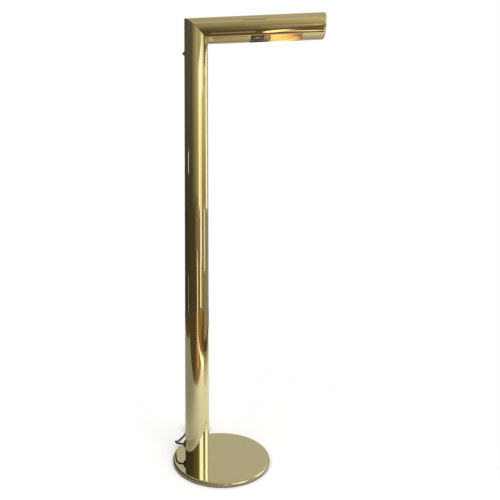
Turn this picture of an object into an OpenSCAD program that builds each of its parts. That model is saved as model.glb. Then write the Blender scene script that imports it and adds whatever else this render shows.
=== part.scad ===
// Floor lamp: a polished brass tube stands off the middle of a round foot and is mitred into a level arm.
// A slot in the underside of the arm lets out the light of a tubular bulb.
// Millimetres, +Z up. The origin is the middle of the foot's underside, and the arm points along +X.

/* [Foot] */
// Diameter of the foot
base_d = 254; // [230:1:320]
// Height of the foot's brass cover
base_h = 9; // [8:0.5:14]
// Radius of the cover's rounded rim
base_edge_r = 5; // [3:0.5:6]
// Wall of the cover
base_t = 1.2; // [0.8:0.1:1.6]
// Thickness of the felt pad under the foot
felt_t = 2; // [1.6:0.1:3]
// How far the felt stands below the cover's edge
felt_proud = 1; // [0.5:0.1:1.4]
// Distance of the felt's edge from the cover's wall
felt_margin = 1.5; // [0.5:0.5:8]

/* [Column] */
// Overall height of the lamp
lamp_h = 1168; // [900:1:1400]
// Outside diameter of the tube
tube_d = 63.5; // [60:0.5:76]
// Wall of the tube
tube_t = 1.2; // [0.8:0.1:1.6]
// Distance of the column's axis behind the middle of the foot
column_back = 63.5; // [50:0.5:75]
// Height of the tapped plug in the column's lower end
foot_h = 15; // [12:1:18]

/* [Foot screws] */
// Number of screws that hold the column
screw_count = 3; // [3:1:4]
// Diameter of the circle that the screws stand on
screw_circle_d = 36; // [30:1:42]
// Thread diameter
screw_d = 6; // [5:0.5:7]
// Diameter of the countersunk head
screw_head_d = 12; // [11:0.5:13]
// How far a screw reaches into the plug
screw_grip = 11; // [8:0.5:11.5]
// Width across the flats of the key's recess
screw_key = 4; // [3:0.5:4]
// Depth of the key's recess
screw_key_deep = 2; // [1.5:0.1:2.4]
// Extra radius of the holes that a screw passes through
screw_room = 0.3; // [0.2:0.05:0.5]

/* [Arm] */
// Distance from the column's axis to the end of the arm
arm_reach = 338; // [320:1:420]
// Thickness of the end cap's rim
cap_h = 6; // [5.5:0.5:10]
// Radius of the end cap's rounded edge
cap_edge_r = 5; // [2:0.5:5]
// Length of the end cap's spigot inside the tube
cap_spigot = 10; // [6:0.5:14]
// Wall of the end cap's spigot and front
cap_t = 2; // [1.5:0.1:3]
// Distance from the column's axis to the light slot
slot_start = 144.5; // [120:0.5:160]
// Length of the light slot
slot_len = 135; // [120:1:150]
// Width of the light slot
slot_w = 35; // [28:0.5:40]

/* [Switch] */
// Distance of the switch below the arm's axis
switch_drop = 58.5; // [50:0.5:120]
// Diameter of the push button
button_d = 5.5; // [4.5:0.1:6]
// Travel of the button
button_travel = 2; // [1:0.1:2.2]
// How far the button still stands out of its nut when it is pushed
button_left = 1; // [0.6:0.1:2]
// Diameter of the button's collar, which keeps it in
collar_d = 7.4; // [7:0.1:8]
// Thickness of the button's collar
collar_t = 1.5; // [1:0.1:1.8]
// Wall of the threaded barrel
barrel_t = 1.2; // [0.8:0.1:1.4]
// Diameter of the ring nut outside
ring_d = 11; // [10.5:0.1:13]
// Thickness of the ring nut
ring_t = 2; // [1.5:0.1:2.5]
// Width of the switch body
switch_w = 14; // [13:0.5:18]
// Height of the switch body
switch_h = 16; // [15:0.5:20]
// Depth of the switch body
switch_deep = 13; // [12:0.5:15]
// Thickness of the body's front wall
switch_front_t = 3; // [2.5:0.1:3.5]
// Diameter of the chamber behind the button
chamber_d = 9; // [8.6:0.1:10]
// Thickness of the switch's back cover
switch_back_t = 1.5; // [1:0.1:2.5]
// Distance of each terminal from the switch's axis
terminal_off = 5; // [4.5:0.1:5.5]
// Diameter of a switch terminal
terminal_d = 4; // [3.6:0.1:5]
// Length of a switch terminal
terminal_len = 3.5; // [2.5:0.1:4.5]
// Wire of the return spring
spring_wire_d = 0.6; // [0.4:0.05:0.7]
// Diameter of the return spring at the middle of its wire
spring_d = 5.4; // [5:0.1:6]
// Turns of the return spring
spring_turns = 5; // [4:1:6]

/* [Lamp holder] */
// Distance of the holder's axis below the arm's axis
holder_drop = 11.5; // [6:0.5:12]
// Distance of the plate that carries the holder from the light slot
plate_before = 4.5; // [4:0.5:8]
// Thickness of the plate
plate_t = 1.5; // [1:0.1:2]
// Length of the plate's rim along the tube
plate_rim = 9; // [6:0.5:12]
// Outside diameter of the threaded nipple
nipple_d = 9.6; // [9:0.1:11]
// Bore of the nipple
nipple_bore = 7; // [6:0.1:7.6]
// Length of the nipple behind the plate
nipple_back = 7; // [5:0.5:9]
// How far the nipple reaches into the holder
nipple_grip = 4.5; // [3:0.1:4.8]
// Width across the flats of the nipple's nuts
nut_flats = 14; // [13:0.5:16]
// Thickness of the nipple's nuts
nut_t = 3.5; // [2.5:0.1:4.5]
// Diameter of the holder's dark body
holder_d = 36; // [35:0.5:38]
// Length of the holder's body
holder_len = 37.5; // [36:0.5:40]
// Thickness of the body's back wall
holder_back_t = 5; // [5:0.1:6]
// Bore of the body
holder_bore = 29; // [28.8:0.1:30]
// Diameter of the brass sleeve
sleeve_d = 33; // [31.8:0.1:33.4]
// Wall of the brass sleeve
sleeve_t = 0.8; // [0.6:0.1:1]
// How far the sleeve sits in the body
sleeve_grip = 8; // [6:0.5:10]
// How far the sleeve stands out of the body
sleeve_out = 17; // [14:0.5:20]
// Depth of the wiring space behind the insulator
wiring_deep = 8.5; // [8:0.1:9]
// Thickness of the insulator
insulator_t = 4; // [3:0.5:5]
// Wall of the screw shell
shell_t = 0.6; // [0.4:0.1:0.8]
// Length of the screw shell
shell_len = 29; // [26:0.5:31]
// Diameter of the middle contact
contact_d = 6; // [5:0.5:8]
// Height of the middle contact
contact_h = 2; // [1:0.1:3]
// Diameter of a holder terminal
clamp_d = 5; // [4:0.1:5.4]
// Height of a holder terminal
clamp_h = 2.5; // [1.5:0.1:3]
// Distance of each holder terminal from the holder's axis
clamp_off = 4.5; // [4:0.1:6]

/* [Bulb] */
// Diameter of the bulb's tube
bulb_d = 32; // [28:0.5:34]
// Length of the bulb from the tip of its contact
bulb_len = 118; // [105:1:150]
// Diameter of the bulb's screw cap
screw_cap_d = 26.3; // [26:0.1:26.5]
// Length of the screw cap
screw_cap_len = 24; // [22:0.5:26]
// Height of the contact at the end of the cap
tip_h = 4; // [3:0.5:5]
// Diameter of that contact's foot
tip_d = 18; // [14:0.5:20]
// Diameter of that contact's end
tip_end_d = 9; // [7:0.5:11]
// Thickness of that contact's seat inside the cap
tip_seat = 1.5; // [1:0.1:3]
// Wall of the screw cap
screw_cap_t = 0.5; // [0.4:0.05:0.7]
// How far the glass reaches into the cap
neck_grip = 8; // [6:0.5:10]
// Length over which the glass widens
neck_flare = 14; // [10:0.5:18]
// Wall of the glass
glass_t = 0.9; // [0.6:0.1:1.2]
// Diameter of the glass stem inside
stem_d = 7; // [6:0.5:9]
// Length of the stem
stem_len = 30; // [20:0.5:36]
// Thickness of the stem's foot, which closes the neck
stem_foot_t = 2; // [1.5:0.1:3]
// Wire of the filament
filament_wire_d = 0.8; // [0.6:0.1:1]
// Length of the filament's loops past the stem
filament_len = 36; // [30:1:40]
// Length of the leads before the filament's loops
filament_lead = 12; // [8:1:16]
// Width from leg to leg of the filament
filament_step = 3.2; // [2.8:0.1:3.6]
// Length over which the leads leave the stem straight
filament_start = 3; // [2:0.5:4]

/* [Cord] */
// Diameter of the mains cord
cord_d = 4.5; // [4:0.1:5]
// Height of the cord's bushing above the floor
cord_z = 36.5; // [34:0.5:60]
// Diameter of the bushing's flange
bushing_d = 18; // [16:0.5:20]
// How far the bushing stands out of the tube
bushing_out = 5.25; // [4.5:0.25:8]
// Height of the bushing's straight rim
bushing_rim = 2; // [1.5:0.25:3]
// Diameter of the bushing's mouth
bushing_mouth_d = 8; // [7:0.5:10]
// Diameter of the bushing's threaded neck
neck_d = 12; // [11:0.5:13]
// Diameter of the bushing's nut
neck_nut_d = 17; // [16:0.5:19]
// Thickness of the bushing's nut
neck_nut_t = 3.5; // [2.5:0.1:4]
// How far the neck stands past its nut
neck_past = 0.5; // [0.2:0.1:1]
// Height where the jacket ends, measured below the switch
jacket_below = 60; // [50:1:80]
// Diameter of a single insulated wire
wire_d = 2.2; // [1.8:0.1:2.3]
// Distance between the two wires at their middles
wire_apart = 2.6; // [2.6:0.1:3]

/* [Coil] */
// Radius of the coil at the middle of its turns
coil_r = 25; // [24.5:0.1:27]
// Distance between neighbouring turns
coil_step = 5.2; // [5.2:0.05:5.6]
// Turns of the coil, in four layers
coil_loops = 11; // [10:1:12]
// Thickness of the tie's band
tie_t = 0.7; // [0.5:0.1:1]
// Width of the tie's band
tie_w = 5; // [3:0.5:8]
// Room between the tie and the turns
tie_room = 0.3; // [0.3:0.05:0.6]

/* [Plug] */
// Width of the plug
plug_w = 24; // [22:0.5:28]
// Height of the plug as it lies
plug_h = 14; // [13:0.5:16]
// Length of the plug's full part
plug_len = 16; // [14:0.5:24]
// Length of the plug's tapered part
plug_taper = 12; // [8:0.5:18]
// Width of the plug where its taper ends
plug_waist = 12; // [11:0.5:14]
// Length of the ribbed relief on the cord
relief_len = 14; // [10:0.5:20]
// Diameter of the relief at the plug
relief_d = 9; // [8:0.5:10.5]
// Diameter of the relief at the cord
relief_end_d = 6; // [5.6:0.1:7]
// Length of a blade outside the plug
blade_len = 17; // [15:0.5:18]
// Width of a blade
blade_w = 6.3; // [6:0.1:7]
// Thickness of a blade
blade_t = 1.5; // [1.4:0.1:1.7]
// Distance between the blades at their middles
blade_apart = 12.7; // [12:0.1:13.4]
// How far a blade sits in the plug
blade_grip = 9; // [6:0.5:12]
// Diameter of the hole in a blade
blade_hole_d = 3; // [2.5:0.1:3.5]

/* [Clearances] */
// Gap round what slides together when the lamp is put together
fit_gap = 0.1; // [0.05:0.01:0.15]
// Running gap round the button's stem
run_gap = 0.08; // [0.04:0.01:0.1]
// Gap between the switch body's edges and the tube
seat_gap = 0.25; // [0.15:0.05:0.4]
// Gap between the foot's weight and its cover
weight_gap = 0.3; // [0.2:0.05:0.6]

/* [Hidden] */
$fn = 96;
// How far a cut runs past the face that it goes through
cut = 1;
// Sides and fineness of the swept tubes
cord_sides = 8;
wire_sides = 6;
bend_steps = 6;
turn_rings = 24;
curl_rings = 8;
hull_fn = 32;

brass = "#c9b060";
steel = "#9a9da1";
black = "#1b1a19";
white = "#f2ead2";

tube_ro = tube_d / 2;
tube_ri = tube_ro - tube_t;
col_x = -column_back;
base_r = base_d / 2;
base_top = felt_proud + base_h;
arm_z = lamp_h - tube_ro;

// The switch's places, measured outwards from the column's axis
switch_z = arm_z - switch_drop;
button_r = button_d / 2;
barrel_r = button_r + run_gap + barrel_t;
body_front = sqrt(tube_ri ^ 2 - (switch_w / 2) ^ 2) - seat_gap;
chamber_front = body_front - switch_front_t;
body_back = body_front - switch_deep;
back_cover_end = body_back - switch_back_t;
ring_end = tube_ro + ring_t;
collar_back = chamber_front - fit_gap - collar_t;

// The bushing's places, measured outwards from the column's axis
mouth_at = tube_ro + bushing_out;
neck_nut_front = sqrt(tube_ri ^ 2 - (neck_nut_d / 2) ^ 2) - fit_gap;
neck_end = neck_nut_front - neck_nut_t - neck_past;

// The lamp holder's and the bulb's places, measured along the arm from the column's axis
holder_z = arm_z - holder_drop;
plate_at = slot_start - plate_before;
holder_at = plate_at + nut_t;
holder_front = holder_at + holder_len;
wiring_at = holder_at + holder_back_t;
insulator_at = wiring_at + wiring_deep;
shell_at = insulator_at + insulator_t;
shell_ri = screw_cap_d / 2 + fit_gap;
bulb_at = shell_at + contact_h;
screw_cap_at = bulb_at + tip_h;
screw_cap_end = screw_cap_at + screw_cap_len;
neck_at = screw_cap_end - neck_grip;
neck_r = screw_cap_d / 2 - screw_cap_t - fit_gap;
bulb_end = bulb_at + bulb_len;
stem_at = neck_at + glass_t;
stem_end = stem_at + stem_len;

// The coil starts where the free cord reaches it, goes round to the right, and ends above its start
coil_entry = [-113.5, 155.5, 3.3];
coil_turns = (coil_loops - 1.5) / 4;
coil_spread = coil_turns * coil_step;
coil_out = coil_r + coil_spread / 2;
coil_in = coil_r - coil_spread / 2;
coil_middle = coil_entry + [coil_out, cord_d, 0];
coil_exit = coil_entry + [0, 2 * cord_d, 3 * coil_step];

// The cord's way out of the bushing, over the foot's rim and along the floor to the coil
cord_route = concat(
    [[col_x - mouth_at, 0, cord_z]],
    [
        [-105, 0, 36.5], [-112.5, 1.7, 36], [-118.5, 6.5, 34.6], [-122, 13, 32.8], [-124.5, 21, 30.2],
        [-126.5, 29, 27.2], [-128, 37, 23.6], [-129, 45, 19.4], [-129.5, 53, 15], [-129.5, 61, 11],
        [-129, 69, 7.8], [-127.5, 77, 5.4], [-125.5, 85, 3.8], [-123, 93, 3], [-120.5, 101, 2.7],
        [-118, 110, 2.6], [-116, 119, 2.6], [-114.5, 128, 2.8], [-113.7, 137, 3.1], [-113.5, 146, 3.3],
        coil_entry
    ]
);

// The cord's last stretch, from the top of the coil down to the plug beside it
tail_route = [
    for (step = [
        [0, 0, 0], [0, 4.5, 0], [0.6, 11, -0.8], [2.4, 18, -2.8], [5.2, 25, -5.6], [8.4, 32, -8.4],
        [11, 39, -10.4], [12.3, 46, -11.5], [12.5, 53, -11.9], [12.5, 58, -11.9]
    ]) coil_exit + step
];
plug_at = tail_route[len(tail_route) - 1];

// The jacketed cord inside the column, and the single wires above it
rise_x = col_x + 4;
bushing_bend = 26;
wire_bend = 10;
jacket_z = switch_z - jacket_below;
wire_y = wire_apart / 2;
terminal_x = col_x - back_cover_end + terminal_len;
clamp_x = col_x + insulator_at - clamp_h;
nipple_end_x = col_x + holder_at + nipple_grip;
inner_route = bent([
    [col_x - mouth_at, 0, cord_z], [rise_x, 0, cord_z], [rise_x, 0, jacket_z]
], bushing_bend);
line_route = bent([
    [rise_x, -wire_y, jacket_z], [rise_x, -wire_y, switch_z - terminal_off],
    [terminal_x, -wire_y, switch_z - terminal_off]
], wire_bend);
neutral_route = concat(bent([
    [rise_x, wire_y, jacket_z], [rise_x, wire_y, holder_z], [nipple_end_x, wire_y, holder_z]
], wire_bend), [[clamp_x - wire_d, clamp_off, holder_z], [clamp_x, clamp_off, holder_z]]);
switched_route = concat(bent([
    [terminal_x, -wire_y, switch_z + terminal_off], [rise_x, -wire_y, switch_z + terminal_off],
    [rise_x, -wire_y, holder_z], [nipple_end_x, -wire_y, holder_z]
], wire_bend), [[clamp_x - wire_d, -clamp_off, holder_z], [clamp_x, -clamp_off, holder_z]]);

// The filament goes out from the stem and back in loops, in one plane
filament_x = col_x + stem_end;
leads_x = filament_x + filament_start;
loops_x = filament_x + filament_lead;
filament_far = filament_x + filament_len;
filament_route = bent([
    for (leg = [
        [filament_x, -0.5], [leads_x, -0.5], [loops_x, -2.5], [filament_far, -1.5], [loops_x, -0.5],
        [filament_far, 0.5], [loops_x, 1.5], [filament_far, 2.5], [leads_x, 0.5], [filament_x, 0.5]
    ]) [leg[0], leg[1] * filament_step, holder_z]
], filament_wire_d);

function unit(v) = v / norm(v);

// Directions of a path at its points
function headings(path) = [
    for (i = [0:len(path) - 1])
        let (before = path[max(i, 1)] - path[max(i, 1) - 1],
             after = path[min(i, len(path) - 2) + 1] - path[min(i, len(path) - 2)])
        unit(unit(before) + unit(after))
];

// A direction square to a heading, to start the rings from
function square_to(heading) =
    unit(cross(heading, abs(heading[2]) < 0.9 ? [0, 0, 1] : [1, 0, 0]));

// That direction carried along the path without twist
function carried(dirs) = [
    for (i = 0, side = square_to(dirs[0]); i < len(dirs); i = i + 1,
         side = i < len(dirs) ? unit(side - (side * dirs[i]) * dirs[i]) : side) side
];

// A path with each corner replaced by a smooth bend that starts this far before it
function bent(corners, reach) = concat(
    [corners[0]],
    [
        for (i = [1:len(corners) - 2], k = [0:bend_steps])
            let (t = k / bend_steps,
                 from = corners[i] - reach * unit(corners[i] - corners[i - 1]),
                 to = corners[i] + reach * unit(corners[i + 1] - corners[i]))
            (1 - t) ^ 2 * from + 2 * t * (1 - t) * corners[i] + t ^ 2 * to
    ],
    [corners[len(corners) - 1]]
);

// A point of the coil after some turns: it spirals in and out, and climbs a layer where it reverses
function coil_point(turns) =
    let (layer = min(floor(turns / (coil_turns + 0.5)), 3),
         along = turns - layer * (coil_turns + 0.5),
         climb = max(along - coil_turns, 0) * 2,
         inward = layer % 2 == 0,
         flat = min(along, coil_turns) * coil_step,
         bulge = coil_step / 2 * (climb - climb ^ 2),
         radius = inward ? coil_out - flat - bulge : coil_in + flat + bulge,
         angle = 180 - 360 * turns)
    coil_middle + [radius * cos(angle), radius * sin(angle), (layer + climb) * coil_step];

coil_path = concat(
    [coil_entry],
    [for (i = [0:coil_loops * turn_rings]) coil_point(i / turn_rings)],
    [coil_exit]
);

// Least distance between the surfaces of turns that lie next to each other
function least_gap(path, d, apart) =
    min([for (i = [0:len(path) - 1 - apart], j = [i + apart:len(path) - 1]) norm(path[i] - path[j])]) - d;

// A round tube along a path, with flat ends
module swept(path, d, sides) {
    dirs = headings(path);
    firsts = carried(dirs);
    last = len(path) - 1;
    points = [
        for (i = [0:last], k = [0:sides - 1])
            let (angle = 360 * k / sides, second = cross(dirs[i], firsts[i]))
            path[i] + d / 2 * (cos(angle) * firsts[i] + sin(angle) * second)
    ];
    walls = [
        for (i = [0:last - 1], k = [0:sides - 1])
            let (a = i * sides + k, b = i * sides + (k + 1) % sides)
            each [[a, a + sides, b], [b, a + sides, b + sides]]
    ];
    ends = [
        for (k = [1:sides - 2])
            each [[0, k, k + 1], [last * sides, last * sides + k + 1, last * sides + k]]
    ];
    polyhedron(points, concat(walls, ends));
}

// Half of a disc's section, with its upper outer edge rounded
module disc_section(radius, height, edge) {
    square([radius - edge, height]);
    square([radius, height - edge]);
    translate([radius - edge, height - edge]) intersection() {
        circle(edge);
        square(edge);
    }
}

module rounded_rectangle(width, height, corner) {
    square([width, height - 2 * corner], center = true);
    square([width - 2 * corner, height], center = true);
    for (x = [-1, 1], y = [-1, 1])
        translate([x * (width / 2 - corner), y * (height / 2 - corner)]) circle(corner);
}

module ring(outer, inner, from, to) {
    translate([0, 0, from]) difference() {
        cylinder(r = outer, h = to - from);
        translate([0, 0, -cut]) cylinder(r = inner, h = to - from + 2 * cut);
    }
}

// Places: out of the column's back at a height, along the arm, and along the lamp holder
module at_back(height) {
    translate([col_x, 0, height]) rotate([0, -90, 0]) children();
}

module along_arm() {
    translate([col_x, 0, arm_z]) rotate([0, 90, 0]) children();
}

module along_holder() {
    translate([col_x, 0, holder_z]) rotate([0, 90, 0]) children();
}

module at_screws() {
    for (i = [0:screw_count - 1])
        translate([col_x, 0, 0]) rotate([0, 0, i * 360 / screw_count])
            translate([screw_circle_d / 2, 0, 0]) children();
}

// Everything on one side of the mitre's plane: 1 is the arm's side and -1 the column's
module mitre_side(side) {
    reach = 2 * tube_d;
    translate([col_x, 0, arm_z]) rotate([0, 45, 0])
        translate([-reach, -reach, side > 0 ? 0 : -reach]) cube([2 * reach, 2 * reach, reach]);
}

module screw_shape(grow, top) {
    head = (screw_head_d - screw_d) / 2;
    translate([0, 0, felt_t]) cylinder(r1 = screw_head_d / 2 + grow, r2 = screw_d / 2 + grow, h = head);
    translate([0, 0, felt_t]) cylinder(r = screw_d / 2 + grow, h = top - felt_t);
}

module base_shell() {
    color(brass) difference() {
        rotate_extrude() translate([0, felt_proud]) difference() {
            disc_section(base_r, base_h, base_edge_r);
            translate([0, -cut])
                disc_section(base_r - base_t, base_h - base_t + cut, base_edge_r - base_t);
        }
        at_screws() cylinder(r = screw_d / 2 + screw_room, h = base_top + cut);
    }
}

module base_weight() {
    radius = base_r - base_t - weight_gap;
    chamfer = base_edge_r - base_t;
    top = base_top - base_t;
    color(steel) difference() {
        rotate_extrude() polygon([
            [0, felt_t], [radius, felt_t], [radius, top - chamfer], [radius - chamfer, top], [0, top]
        ]);
        at_screws() {
            screw_shape(fit_gap, base_top);
            cylinder(r = screw_d / 2 + screw_room, h = base_top);
            cylinder(r = screw_head_d / 2 + fit_gap, h = felt_t + fit_gap);
        }
    }
}

module base_felt() {
    color("#2c3a2a") cylinder(r = base_r - base_t - felt_margin, h = felt_t);
}

module base_screws() {
    color(steel) at_screws() difference() {
        screw_shape(0, base_top + screw_grip);
        translate([0, 0, felt_t - cut])
            cylinder(r = screw_key / sqrt(3), h = screw_key_deep + cut, $fn = 6);
    }
}

module column_foot() {
    color(steel) difference() {
        translate([col_x, 0, base_top]) cylinder(r = tube_ri - fit_gap, h = foot_h);
        at_screws() cylinder(r = screw_d / 2 + fit_gap, h = base_top + foot_h + cut);
    }
}

module column_tube() {
    top = lamp_h + cut;
    color(brass) difference() {
        translate([col_x, 0, base_top]) cylinder(r = tube_ro, h = top - base_top);
        translate([col_x, 0, base_top - cut]) cylinder(r = tube_ri, h = top - base_top + 2 * cut);
        mitre_side(1);
        at_back(cord_z) cylinder(r = neck_d / 2 + fit_gap, h = tube_d);
        at_back(switch_z) cylinder(r = barrel_r + fit_gap, h = tube_d);
    }
}

module arm_tube() {
    end = arm_reach - cap_h;
    color(brass) difference() {
        along_arm() translate([0, 0, -tube_d]) cylinder(r = tube_ro, h = end + tube_d);
        along_arm() translate([0, 0, -tube_d - cut]) cylinder(r = tube_ri, h = end + tube_d + 2 * cut);
        mitre_side(-1);
        translate([col_x + slot_start, -slot_w / 2, arm_z - tube_d]) cube([slot_len, slot_w, tube_d]);
    }
}

module arm_end_cap() {
    spigot_r = tube_ri - fit_gap;
    color(brass) along_arm() translate([0, 0, arm_reach - cap_h]) {
        rotate_extrude() difference() {
            union() {
                disc_section(tube_ro, cap_h, cap_edge_r);
                translate([0, -cap_spigot]) square([spigot_r, cap_spigot + cut]);
            }
            translate([0, -cap_spigot - cut])
                square([spigot_r - cap_t, cap_spigot + cap_h - cap_t + cut]);
        }
    }
}

module cord_bushing() {
    neck_bore = cord_d / 2 + fit_gap;
    color(black) difference() {
        at_back(cord_z) rotate_extrude() difference() {
            union() {
                polygon([
                    [0, tube_ri], [bushing_d / 2, tube_ri], [bushing_d / 2, tube_ro + bushing_rim],
                    [bushing_mouth_d / 2, mouth_at], [0, mouth_at]
                ]);
                translate([0, neck_end]) square([neck_d / 2, mouth_at - neck_end - bushing_rim]);
            }
            translate([0, neck_end - cut]) square([neck_bore, mouth_at - neck_end + 2 * cut]);
        }
        difference() {
            translate([col_x, 0, cord_z - bushing_d]) cylinder(r = tube_ro + fit_gap, h = 2 * bushing_d);
            at_back(cord_z) cylinder(r = neck_d / 2, h = tube_d);
        }
    }
}

module bushing_nut() {
    color(black) at_back(cord_z)
        ring(neck_nut_d / 2, neck_d / 2 + fit_gap, neck_nut_front - neck_nut_t, neck_nut_front);
}

module mains_cord() {
    color(black) swept(cord_route, cord_d, cord_sides);
}

module cord_coil() {
    echo(coil_least_gap = least_gap(coil_path, cord_d, turn_rings / 2));
    color(black) swept(coil_path, cord_d, wire_sides);
}

module coil_tie() {
    bundle_w = coil_spread + coil_step / 4 + cord_d;
    bundle_h = 3 * coil_step + cord_d;
    corner = cord_d / 2;
    color(black) translate(coil_middle + [coil_r, tie_w / 2, 3 * coil_step / 2]) rotate([90, 0, 0])
        linear_extrude(tie_w) difference() {
            rounded_rectangle(
                bundle_w + 2 * (tie_room + tie_t), bundle_h + 2 * (tie_room + tie_t), corner + tie_t);
            rounded_rectangle(bundle_w + 2 * tie_room, bundle_h + 2 * tie_room, corner);
        }
}

module cord_tail() {
    color(black) swept(tail_route, cord_d, cord_sides);
}

// Two blades or their pockets, seen from the plug's front face
module blades_at(grow, from, to) {
    for (side = [-1, 1])
        translate([side * blade_apart / 2, 0, (from + to) / 2])
            cube([blade_t + 2 * grow, blade_w + 2 * grow, to - from], center = true);
}

module at_plug() {
    translate(plug_at) rotate([-90, 0, 0]) children();
}

module plug_body() {
    taper_end = relief_len + plug_taper;
    front = taper_end + plug_len;
    corner = plug_h / 3;
    color(black) at_plug() difference() {
        union() {
            cylinder(r1 = relief_end_d / 2, r2 = relief_d / 2, h = relief_len + cut);
            hull() {
                translate([0, 0, relief_len]) linear_extrude(cut)
                    rounded_rectangle(plug_waist, relief_d, corner, $fn = hull_fn);
                translate([0, 0, taper_end]) linear_extrude(plug_len)
                    rounded_rectangle(plug_w, plug_h, corner, $fn = hull_fn);
            }
        }
        blades_at(fit_gap, front - blade_grip, front + cut);
    }
}

module plug_blades() {
    front = relief_len + plug_taper + plug_len;
    hole_at = front + blade_len - blade_w / 2;
    color("#c8b27a") at_plug() difference() {
        blades_at(0, front - blade_grip + fit_gap, front + blade_len);
        translate([-plug_w / 2, 0, hole_at]) rotate([0, 90, 0]) cylinder(d = blade_hole_d, h = plug_w);
    }
}

module inner_cord() {
    color(black) swept(inner_route, cord_d, cord_sides);
}

module line_wire() {
    color("#2a2522") swept(line_route, wire_d, wire_sides);
}

module neutral_wire() {
    color("#e6e2d8") swept(neutral_route, wire_d, wire_sides);
}

module switched_wire() {
    color("#2a2522") swept(switched_route, wire_d, wire_sides);
}

module switch_block(from, to) {
    translate([-switch_h / 2, -switch_w / 2, from]) cube([switch_h, switch_w, to - from]);
}

module switch_body() {
    color(black) at_back(switch_z) difference() {
        switch_block(body_back, body_front);
        translate([0, 0, body_back - cut]) cylinder(r = chamber_d / 2, h = chamber_front - body_back + cut);
        cylinder(r = barrel_r + fit_gap, h = body_front + cut);
    }
}

module switch_back() {
    color("#5b3a22") at_back(switch_z) switch_block(back_cover_end, body_back);
}

module switch_terminals() {
    color(brass) at_back(switch_z) for (side = [-1, 1])
        translate([side * terminal_off, 0, back_cover_end - terminal_len])
            cylinder(r = terminal_d / 2, h = terminal_len);
}

module switch_barrel() {
    color(brass) at_back(switch_z) ring(barrel_r, button_r + run_gap, chamber_front, ring_end);
}

module switch_nut() {
    chamfer = ring_t / 2;
    color(brass) at_back(switch_z) rotate_extrude() polygon([
        [barrel_r + fit_gap, tube_ro], [ring_d / 2, tube_ro], [ring_d / 2, ring_end - chamfer],
        [ring_d / 2 - chamfer, ring_end], [barrel_r + fit_gap, ring_end]
    ]);
}

module switch_button() {
    dome = button_r / 2;
    tip = ring_end + button_travel + button_left;
    color(black) at_back(switch_z) union() {
        rotate_extrude() translate([0, chamber_front - 2 * fit_gap])
            disc_section(button_r, tip - chamber_front + 2 * fit_gap, dome);
        translate([0, 0, collar_back]) cylinder(r = collar_d / 2, h = collar_t);
    }
}

// The spring stands between the back cover and the button's collar
module switch_spring() {
    low = body_back + spring_wire_d / 2 + fit_gap;
    high = collar_back - spring_wire_d / 2 - fit_gap;
    rings = spring_turns * curl_rings;
    path = [
        for (i = [0:rings])
            [spring_d / 2 * cos(360 * i / curl_rings), spring_d / 2 * sin(360 * i / curl_rings),
             low + (high - low) * i / rings]
    ];
    echo(spring_least_gap = least_gap(path, spring_wire_d, curl_rings / 2));
    color(steel) at_back(switch_z) swept(path, spring_wire_d, wire_sides);
}

module socket_plate() {
    color(brass) difference() {
        along_arm() union() {
            translate([0, 0, plate_at - plate_t]) cylinder(r = tube_ri - fit_gap, h = plate_t);
            ring(tube_ri - fit_gap, tube_ri - fit_gap - plate_t, plate_at - plate_rim, plate_at);
        }
        along_holder() cylinder(r = nipple_d / 2 + fit_gap, h = plate_at + cut);
    }
}

module socket_nipple() {
    color(brass) along_holder()
        ring(nipple_d / 2, nipple_bore / 2, plate_at - nipple_back, holder_at + nipple_grip);
}

module nipple_nuts() {
    color(steel) along_holder() for (from = [plate_at - plate_t - nut_t, plate_at])
        translate([0, 0, from]) difference() {
            cylinder(r = nut_flats / sqrt(3), h = nut_t, $fn = 6);
            translate([0, 0, -cut]) cylinder(r = nipple_d / 2 + fit_gap, h = nut_t + 2 * cut);
        }
}

module holder_body() {
    color(black) along_holder() difference() {
        translate([0, 0, holder_at]) cylinder(r = holder_d / 2, h = holder_len);
        translate([0, 0, holder_at - cut])
            cylinder(r = nipple_d / 2 + fit_gap, h = holder_back_t + 2 * cut);
        translate([0, 0, wiring_at]) cylinder(r = holder_bore / 2, h = holder_len);
        translate([0, 0, holder_front - sleeve_grip])
            cylinder(r = sleeve_d / 2 + fit_gap, h = sleeve_grip + cut);
    }
}

module holder_sleeve() {
    color(brass) along_holder() ring(
        sleeve_d / 2, sleeve_d / 2 - sleeve_t, holder_front - sleeve_grip, holder_front + sleeve_out);
}

module holder_insulator() {
    color(white) along_holder() translate([0, 0, insulator_at])
        cylinder(r = holder_bore / 2 - fit_gap, h = insulator_t);
}

module holder_screw_shell() {
    color(brass) along_holder() ring(shell_ri + shell_t, shell_ri, shell_at, shell_at + shell_len);
}

module holder_contact() {
    color(brass) along_holder() translate([0, 0, shell_at]) cylinder(r = contact_d / 2, h = contact_h);
}

module holder_terminals() {
    color(brass) along_holder() for (side = [-1, 1])
        translate([0, side * clamp_off, insulator_at - clamp_h]) cylinder(r = clamp_d / 2, h = clamp_h);
}

module bulb_cap() {
    radius = screw_cap_d / 2;
    color(brass) along_holder() ring(radius, radius - screw_cap_t, screw_cap_at, screw_cap_end);
}

module bulb_contact() {
    color(steel) along_holder() translate([0, 0, bulb_at]) {
        cylinder(r1 = tip_end_d / 2, r2 = tip_d / 2, h = tip_h);
        translate([0, 0, tip_h]) cylinder(r = screw_cap_d / 2 - screw_cap_t - fit_gap, h = tip_seat);
    }
}

// Half of the bulb's section: its neck, the flare, the tube and the round end
module bulb_section(shrink) {
    radius = bulb_d / 2 - shrink;
    neck = neck_r - shrink;
    round_at = bulb_end - bulb_d / 2;
    flare_end = screw_cap_end + neck_flare;
    polygon([
        [0, neck_at - (shrink > 0 ? cut : 0)], [neck, neck_at - (shrink > 0 ? cut : 0)],
        [neck, screw_cap_end], [radius, flare_end], [radius, round_at], [0, round_at]
    ]);
    translate([0, round_at]) intersection() {
        circle(radius);
        square(radius);
    }
}

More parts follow.
